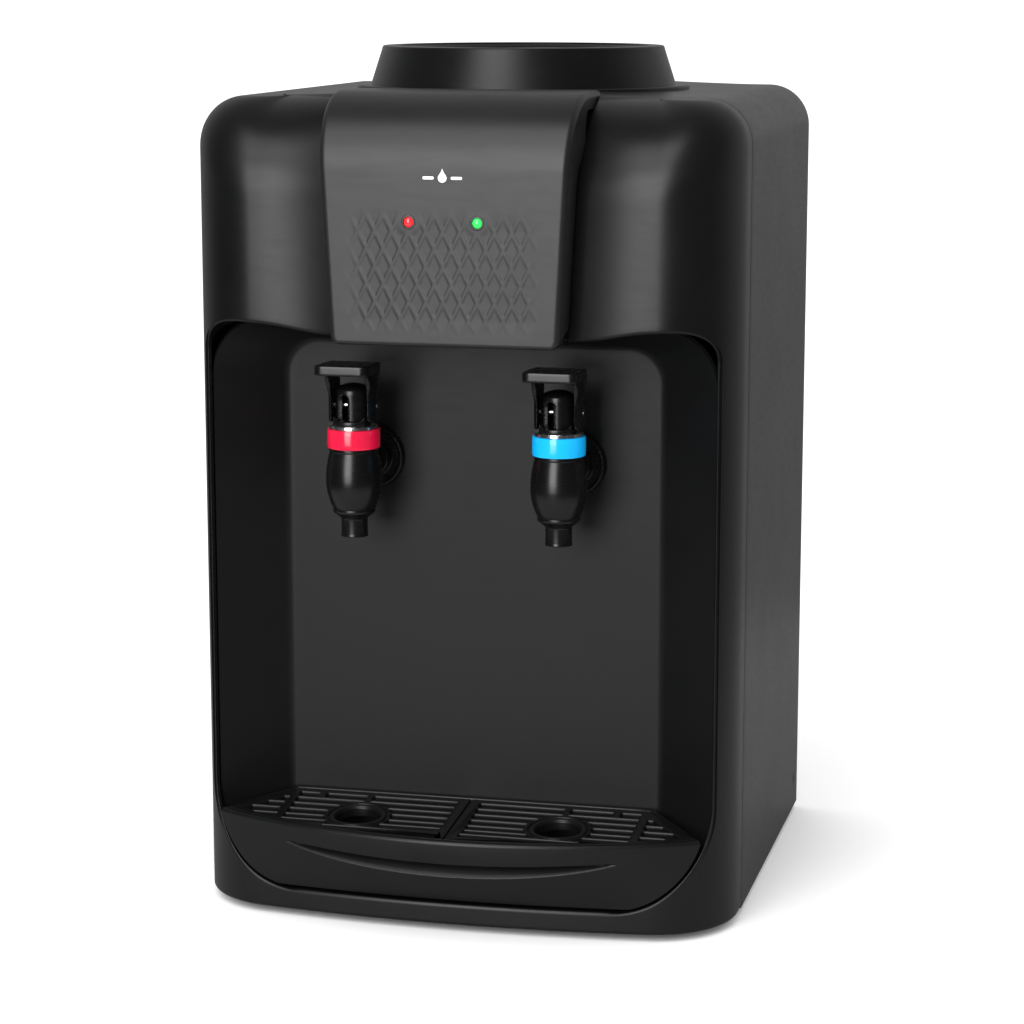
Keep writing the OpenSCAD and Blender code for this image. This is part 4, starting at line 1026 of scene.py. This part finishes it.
def grille(side, node):
    """Half of the grille: rounded ribs between solid bars, and a dished well under the tap."""
    tap_x, tap_y = tap_axis("cold" if side > 0 else "hot")
    tap_x = abs(tap_x)
    ring_r, gap = 16.6 * MM, 3.7 * MM
    clear_r = ring_r + 1.6 * MM
    outline = [(x, lip_front(x, LIP_Z, gap)) for x in np.linspace(0.25 * MM, tray_hw(LIP_Z, gap), 40)]
    outline += [(tray_back_hw(LIP_Z, gap), TRAY_BACK - gap, 4 * MM), (0.25 * MM, TRAY_BACK - gap, 1 * MM)]
    loops = [fillet(outline, True)]

    def ring_x(s):
        return lambda y: tap_x + s * (math.sqrt(max(0.0, clear_r**2 - (y - tap_y) ** 2)) + 0.001 * MM)

    def bar(x, half):
        return (lambda y: x - half), (lambda y: x + half)

    first_row = TRAY_BACK - 8.5 * MM
    for y1 in np.arange(first_row, LIP_Y + 8 * MM, -SLOT_PITCH):
        y0 = y1 - (SLOT_PITCH - RIB)
        stops = []
        if min(abs(y0 - tap_y), abs(y1 - tap_y)) < ring_r or y0 < tap_y < y1:
            stops.append((ring_x(-1), ring_x(1)))
        elif y0 > tap_y:
            stops.append(bar(tap_x, 1.4 * MM))
        if y1 == first_row:
            stops.append(bar(84.2 * MM, 1.8 * MM))
        stops += [bar(100 * MM, 2.2 * MM), (lambda y: side_x(y, LIP_Z, gap + 3.4 * MM), None)]
        left = lambda y: 6 * MM
        for low, high in stops:
            slot = slot_outline(y0, y1, left, low, gap + 2.2 * MM)
            if slot and low((y0 + y1) / 2) - left((y0 + y1) / 2) > 3 * MM:
                loops.append(slot)
            left = high
    loops.append(circle(tap_x, tap_y, ring_r, 64))
    loops = [[(side * x, y) for x, y in loop] for loop in loops]
    plate = flat_plate(node + "_plate", loops, LIP_Z, GRILLE_T, 0.85 * MM)
    dish = mm([(17.1, -3.6), (17.1, -0.9), (15.8, -0.9, 0.4), (15.4, 0, 0.5), (13.3, 0.2, 0.8),
               (12.3, -1.2, 0.8), (12.3, -5), (14.3, -5)], LIP_Z)
    well = lathe(node + "_well", dish, (side * tap_x, tap_y), closed=True)
    rack = join(node + "_rack", [plate, well], 40)
    rise_to_back(rack)
    stand_for(rack, node)


def flat_plate(name, loops, top, thickness, round_r):
    """Flat plate with holes and rounded edges, made from a filled outline."""
    curve = bpy.data.curves.new(name, "CURVE")
    put(curve, dimensions="2D", fill_mode="BOTH", extrude=thickness / 2 - round_r)
    put(curve, bevel_depth=round_r, bevel_resolution=3, offset=-round_r)
    for loop in loops:
        spline = curve.splines.new("POLY")
        spline.points.add(len(loop) - 1)
        for point, (x, y) in zip(spline.points, loop):
            point.co = (x, y, 0, 1)
        spline.use_cyclic_u = True
    holder = placed(name, curve)
    mesh = evaluated_mesh(holder)
    bpy.data.objects.remove(holder)
    bpy.data.curves.remove(curve)
    mesh.transform(Matrix.Translation((0, 0, top - thickness / 2)))
    return shaded_object(name, mesh, 40)


# ---- taps ----


def tap_axis(kind):
    at = middle(kind + "_colour_ring")
    return at.x, at.y


def tap_body(kind):
    low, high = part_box(kind + "_tap_body")
    ring_low, ring_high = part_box(kind + "_colour_ring")
    x, y = tap_axis(kind)
    neck, top = low.z + 15.4 * MM, ring_low.z
    barrel_r = 15.2 * MM
    profile = mm([(0, 14), (4.8, 14), (4.8, 0.4, 0.4), (7.5, 0, 0.6), (7.1, 1.8, 1), (7.1, 10, 1.2),
                  (11.2, 13.4, 1), (11.7, 14.6, 0.5), (11.1, 15.4, 0.3)], low.z)
    for t in np.linspace(0.02, 1, 40):
        r = barrel_r - (3.9 if t < 0.5 else 2.2) * MM * (1 - 2 * t) ** 2
        profile.append((r, neck + t * (top - 2.2 * MM - neck)))
    profile += mm([(13.3, -1.7, 0.4), (13.3, -0.1, 0.4), (11.9, 0)], top)
    profile += mm([(11.9, -0.2, 0.4), (0, -0.2)], ring_high.z)
    barrel = lathe(kind + "_barrel", profile, (x, y))
    arm = mm([(0, 6), (8, 6)], y) + mm([(8, -8), (4, -8), (4, 0), (2.8, 0), (2.8, -10), (0, -10)], high.y)
    cut(barrel, [lathe_y("shank", arm, (x, middle("tap_flanges").z))], "UNION")
    stand_for(barrel, kind + "_tap_body")


def flanges():
    rose = mm([(8.1, 0), (18, 0), (18, -1.6, 0.7), (16.9, -3.7, 0.9), (15.6, -3.6, 0.4), (14.9, -3.0, 0.4),
               (11.2, -3.2, 0.8), (10.5, -9.6, 0.9), (8.1, -9.9)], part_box("tap_flanges")[1].y)
    arm_z = middle("tap_flanges").z
    parts = [lathe_y("flange", rose, (tap_axis(kind)[0], arm_z), closed=True) for kind in ("hot", "cold")]
    stand_for(join("tap_roses", parts), "tap_flanges")


def rings_and_washers():
    washers = []
    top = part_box("tap_washers")[1].z
    for kind in ("hot", "cold"):
        low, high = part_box(kind + "_colour_ring")
        axis = tap_axis(kind)
        r = (high.x - low.x) / 2 / MM
        band = mm([(12, 0), (r - 0.15, 0, 0.5), (r, 2.5, 2)], low.z)
        band += mm([(r, -2.5, 2), (r - 0.15, 0, 0.5), (12, 0)], high.z)
        stand_for(lathe(kind + "_band", band, axis, 128, closed=True), kind + "_colour_ring")
        washer = mm([(8.2, 0), (13.1, 0, 0.3)], high.z)
        washer += mm([(12.9, 0, 0.5), (11.6, 0.15, 0.4), (8.2, 0)], top)
        washers.append(lathe("washer", washer, axis, 128, closed=True))
    stand_for(join("chrome_washers", washers), "tap_washers")


STEM_LIFT = 4 * MM


def bonnet(kind):
    low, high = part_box(kind + "_bonnet")
    x, y = tap_axis(kind)
    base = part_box("tap_washers")[1].z + 0.1 * MM
    profile = mm([(0, 0), (9.5, 0, 0.4)], base) + mm([(9.5, -5.2, 1.4)], high.z)
    profile += [(9.5 * MM * 0.985 * math.cos(q), high.z - 4.4 * MM * (1 - math.sin(q)))
                for q in np.linspace(0.15, HALF_PI, 12)]
    dome = lathe(kind + "_dome", profile, (x, y))
    stem_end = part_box(kind + "_stem")[1].z + STEM_LIFT
    bore = lathe("bore", mm([(0, 2.5), (6, 2.5)], base) + mm([(6, 0.5), (0, 0.5)], stem_end), (x, y))
    hw, slot_top = 3.5 * MM, joint_place(kind + "_lever_tilt")[2] + 3.0 * MM
    arch = mm([(-3.5, 1.2), (3.5, 1.2)], base) + arc_points(0, slot_top, hw, 0, 180, 17)
    slot = prism("slot", arch, -20 * MM, 0, "Y")
    slot.data.transform(Matrix.Translation((x, y, 0)) @ Matrix.Rotation(math.radians(-20), 4, "Z"))
    cut(dome, [bore, slot])
    blend_solid(dome, 0.32 * MM, 4)
    seat = mm([(3, 0.5), (8, 0.5)], low.z) + mm([(8, 0.8), (3, 0.8)], base)
    parts = [dome, lathe("skirt", seat, (x, y), closed=True), front_band(x, y, base)]
    stand_for(join(kind + "_dome", parts, 60), kind + "_bonnet")


def front_band(x, y, base):
    """Low curved sill in front of the bonnet that closes the lever's window at the bottom."""
    corners = [(10.4, 0, 0.5), (12.7, 0, 0.6), (12.7, 2.6, 1.2), (11.2, 2.6, 1.2), (10.4, 1.4, 0.4)]
    section = fillet(corners, True, 4)
    reach = math.radians(44)
    rows = []
    for a in np.linspace(-reach, reach, 25):
        lift = 2.2 * max(0.0, (abs(a) / reach - 0.55) / 0.45) ** 2
        for r, h in section:
            rise = h + lift * (h / 2.6)
            rows.append((x + r * MM * math.sin(a), y - r * MM * math.cos(a), base + rise * MM))
    return new_object("band", rows, grid_faces(25, len(section), close_cols=True, ends=True))


def joint_place(name):
    return Vector(next(j["pos_m"] for j in frame["joints"] if j["name"] == name))


def lever(kind):
    """Yoke and paddle: two arms that hug the bonnet and flare forward into a thumb paddle."""
    x, y = tap_axis(kind)
    pin_z, top = joint_place(kind + "_lever_tilt")[2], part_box(kind + "_lever")[1].z
    sleeve, inner = 13.5 * MM, 9.9 * MM
    side = mm([(-8.8, -8.8, 8), (8.8, -8.8, 8), (9.6, 4, 6)], pin_z)
    side += mm([(11.2, -9, 6), (9, -2.8, 4), (-22.5, -3.2), (-22.5, -5.2, 1), (-14.5, -6.0, 6),
                (-10.0, -12, 9)], top)
    side = [(y + u, v) for u, v in fillet(side + mm([(-8.8, 1, 9)], pin_z), True, 10)]
    ends = [sorted((x + s * inner, x + s * (sleeve + 3 * MM))) for s in (-1, 1)]
    yoke = join("yoke", [prism("arm", side, *pair, "X") for pair in ends])
    rows = []
    for z in np.linspace(pin_z - 12 * MM, top + 2 * MM, 24):
        flare = smoothstep(z, pin_z + 4 * MM, top - 8 * MM)
        hug = sleeve - 0.2 * MM + 0.7 * MM * flare
        for k in range(64):
            a = 2 * math.pi * k / 64
            depth = sleeve + (11 * MM * flare if math.sin(a) < 0 else 0)
            rows.append((x + hug * math.cos(a), y + depth * math.sin(a), z))
    envelope = new_object("envelope", rows, grid_faces(24, 64, close_cols=True, ends=True))
    cut(yoke, [envelope], "INTERSECT")
    plate = mm([(-15.1, -25.2, 5), (15.1, -25.2, 5), (14.345, 5, 12), (8, 13.2, 9), (-8, 13.2, 9),
                (-14.345, 5, 12)])
    paddle = prism("paddle", fillet(plate, True, 10), top - 5.6 * MM, top - 0.3 * MM)
    bow_paddle(paddle)
    paddle.data.transform(Matrix.Translation((x, y, 0)))
    obj = join(kind + "_yoke", [yoke, paddle])
    blend_solid(obj, 0.38 * MM, 18)
    stand_for(obj, kind + "_lever")


def bow_paddle(obj):
    """Dips the paddle behind its front edge so that the thumb rests in it, and drops its rear."""
    edit = bmesh.new()
    edit.from_mesh(obj.data)
    for step in np.arange(-22, 12, 2.5):
        geometry = edit.verts[:] + edit.edges[:] + edit.faces[:]
        bmesh.ops.bisect_plane(edit, geom=geometry, plane_co=(0, step * MM, 0), plane_no=(0, 1, 0))
    for v in edit.verts:
        y = v.co.y / MM
        v.co.z -= (0.02 * (y + 25) + 0.022 * max(0.0, y - 2) ** 2) * MM
    edit.to_mesh(obj.data)
    edit.free()


# ---- bottle seat ----


def collar():
    low, high = COLLAR_LOW.z, COLLAR_HIGH.z
    r = COLLAR_HIGH.x / MM
    profile = mm([(r, 0), (r, 1.7, 0.8), (90.2, 3.0, 1.8)], low)
    profile += mm([(81.2, -3.2, 2.5), (80.3, -0.1, 1.4), (72.8, 0, 0.8), (71.4, -2, 0.8), (71.4, -12),
                   (69.4, -12), (69.4, -14), (71.4, -14)], high)
    profile += mm([(71.4, -12), (73.4, -12)], low) + mm([(73.4, -4), (77, -4)], high) + mm([(85, 0)], low)
    stand_for(lathe("seat_collar", profile, (0, SEAT_Y), 192, closed=True), "bottle_collar")


def funnel():
    low = FUNNEL_LOW.z
    profile = mm([(28.5, 0, 0.5), (31.5, 0, 0.5), (31.5, 26, 3)], low)
    profile += mm([(66, -20, 5), (69.2, -16), (69.2, -10), (71.2, -10), (71.2, 0, 0.4), (69.8, 0.4, 0.5),
                   (67, -1.4, 1.5), (66.4, -13, 2), (63.5, -16.5, 4)], FUNNEL_HIGH.z)
    profile += mm([(34, 32, 5), (28.5, 28, 3)], low)
    stand_for(lathe("seat_funnel", profile, (0, SEAT_Y), 160, closed=True), "bottle_funnel")


# ---- CAD pieces that keep their shape ----


def soften_cad(node, width):
    """Rounds a CAD piece's edges for the render and shades it smoothly. Its mesh stays as packed."""
    obj = frame["nodes"][node]
    modify(obj, "WELD", merge_threshold=0.002 * MM)
    modify(obj, "BEVEL", width=width, segments=2, limit_method="ANGLE",
           angle_limit=math.radians(35), harden_normals=False)
    modify(obj, "WEIGHTED_NORMAL", keep_sharp=True)


def dress_cad():
    for node, obj in frame["nodes"].items():
        dress(obj, SLOT_OF[node])


# ---- stage ----

BACKDROP = 1.3
SURROUND = 0.02
BEHIND = 0.42
BELOW = 0.6
FLOOR_R = 0.75
FLOOR_MIRRORED = 0.3


def stage():
    n = Nodes("floor_paint")
    n.colour(n.noise(3, 4), (0.90, 0.90, 0.90), (0.92, 0.92, 0.92))
    # In reflections the floor's colour is multiplied by FLOOR_MIRRORED: a painted darker reflection of the floor
    # on the product. To the camera the floor stays pale.
    seen = n.add("ShaderNodeLightPath").outputs["Is Glossy Ray"]
    shaded = n.add("ShaderNodeMix", data_type="RGBA", blend_type="MULTIPLY")
    shaded.inputs[0].default_value = 1.0
    n.link(n.shader.inputs["Base Color"].links[0].from_socket, shaded.inputs[6])
    n.link(n.spread(seen, 1.0, FLOOR_MIRRORED, 0, 1), shaded.inputs[7])
    n.link(shaded.outputs[2], n.shader.inputs["Base Color"])
    paint = n.finish(n.bump(n.noise(500, 3), 0.05, 0.0001), n.spread(n.noise(5, 3), 0.65, 0.75),
                     Specular_IOR_Level=0.1)
    ring = [(x, y, 0) for x, y in circle(0, 0, FLOOR_R, 96)]
    floor = new_object("floor", ring, [tuple(range(len(ring)))])
    floor.data.materials.append(paint)


def studio():
    """Dim surroundings for the reflections, with a plain pale backdrop behind everything."""
    n = Nodes("studio", "worlds", "Background")
    n.shader.inputs["Color"].default_value = (1, 1, 1, 1)
    way = n.add("ShaderNodeSeparateXYZ")
    n.link(n.places["Generated"], way.inputs["Vector"])
    around = n.spread(way.outputs["Y"], SURROUND, BEHIND, -0.15, 0.6, "SMOOTHSTEP")
    lower = n.spread(way.outputs["Z"], BELOW, 1.0, -0.12, 0.04)
    strength = n.add("ShaderNodeMix", A=BACKDROP)
    n.link(n.add("ShaderNodeLightPath").outputs["Is Glossy Ray"], strength.inputs["Factor"])
    n.link(n.maths("MULTIPLY", around, lower), strength.inputs["B"])
    n.link(strength.outputs["Result"], n.shader.inputs["Strength"])
    bpy.context.scene.world = n.owner
    bpy.context.scene.view_settings.view_transform = "Standard"


def soft_box(name, at, look, size, power):
    data = bpy.data.lights.new(name, "AREA")
    put(data, shape="RECTANGLE", size=size[0], size_y=size[1], energy=power)
    turn = (Vector(look) - Vector(at)).to_track_quat("-Z", "Y").to_euler()
    put(placed(name, data), location=at, rotation_euler=turn)


def lights():
    soft_box("front", (-0.43, -2.3, 0.85), (0, 0, 0.35), (1.1, 2.0), 43)
    soft_box("high", (-0.3, -1.25, 1.95), (0, 0, 0.35), (1.1, 0.9), 11)


def camera():
    """The photograph's viewing angle: a little from the right and from above."""
    data = put(bpy.data.cameras.new("camera"), lens=100.6, sensor_width=36)
    turn = (math.radians(79.48), 0, math.radians(13.61))
    obj = put(placed("camera", data), location=(0.3836, -1.5735, 0.5081), rotation_euler=turn)
    bpy.context.scene.camera = obj


dress_cad()
camera()
front_shell()
cabinet()
panel_face()
droplet_mark()
indicators()
bay_liner()
drip_tray()
grille(-1, "grille_left")
grille(1, "grille_right")
for tap in ("hot", "cold"):
    tap_body(tap)
    bonnet(tap)
    lever(tap)
flanges()
rings_and_washers()
collar()
funnel()
for softened, width in (("base_pan", 0.4), ("feet", 0.6), ("drain_cap", 0.5), ("cord_gland", 0.5),
                        ("switch_housings", 0.4), ("hot_switch_rocker", 0.3), ("cold_switch_rocker", 0.3),
                        ("rear_screws", 0.12), ("side_screws", 0.1)):
    soften_cad(softened, width * MM)
stage()
studio()
lights()
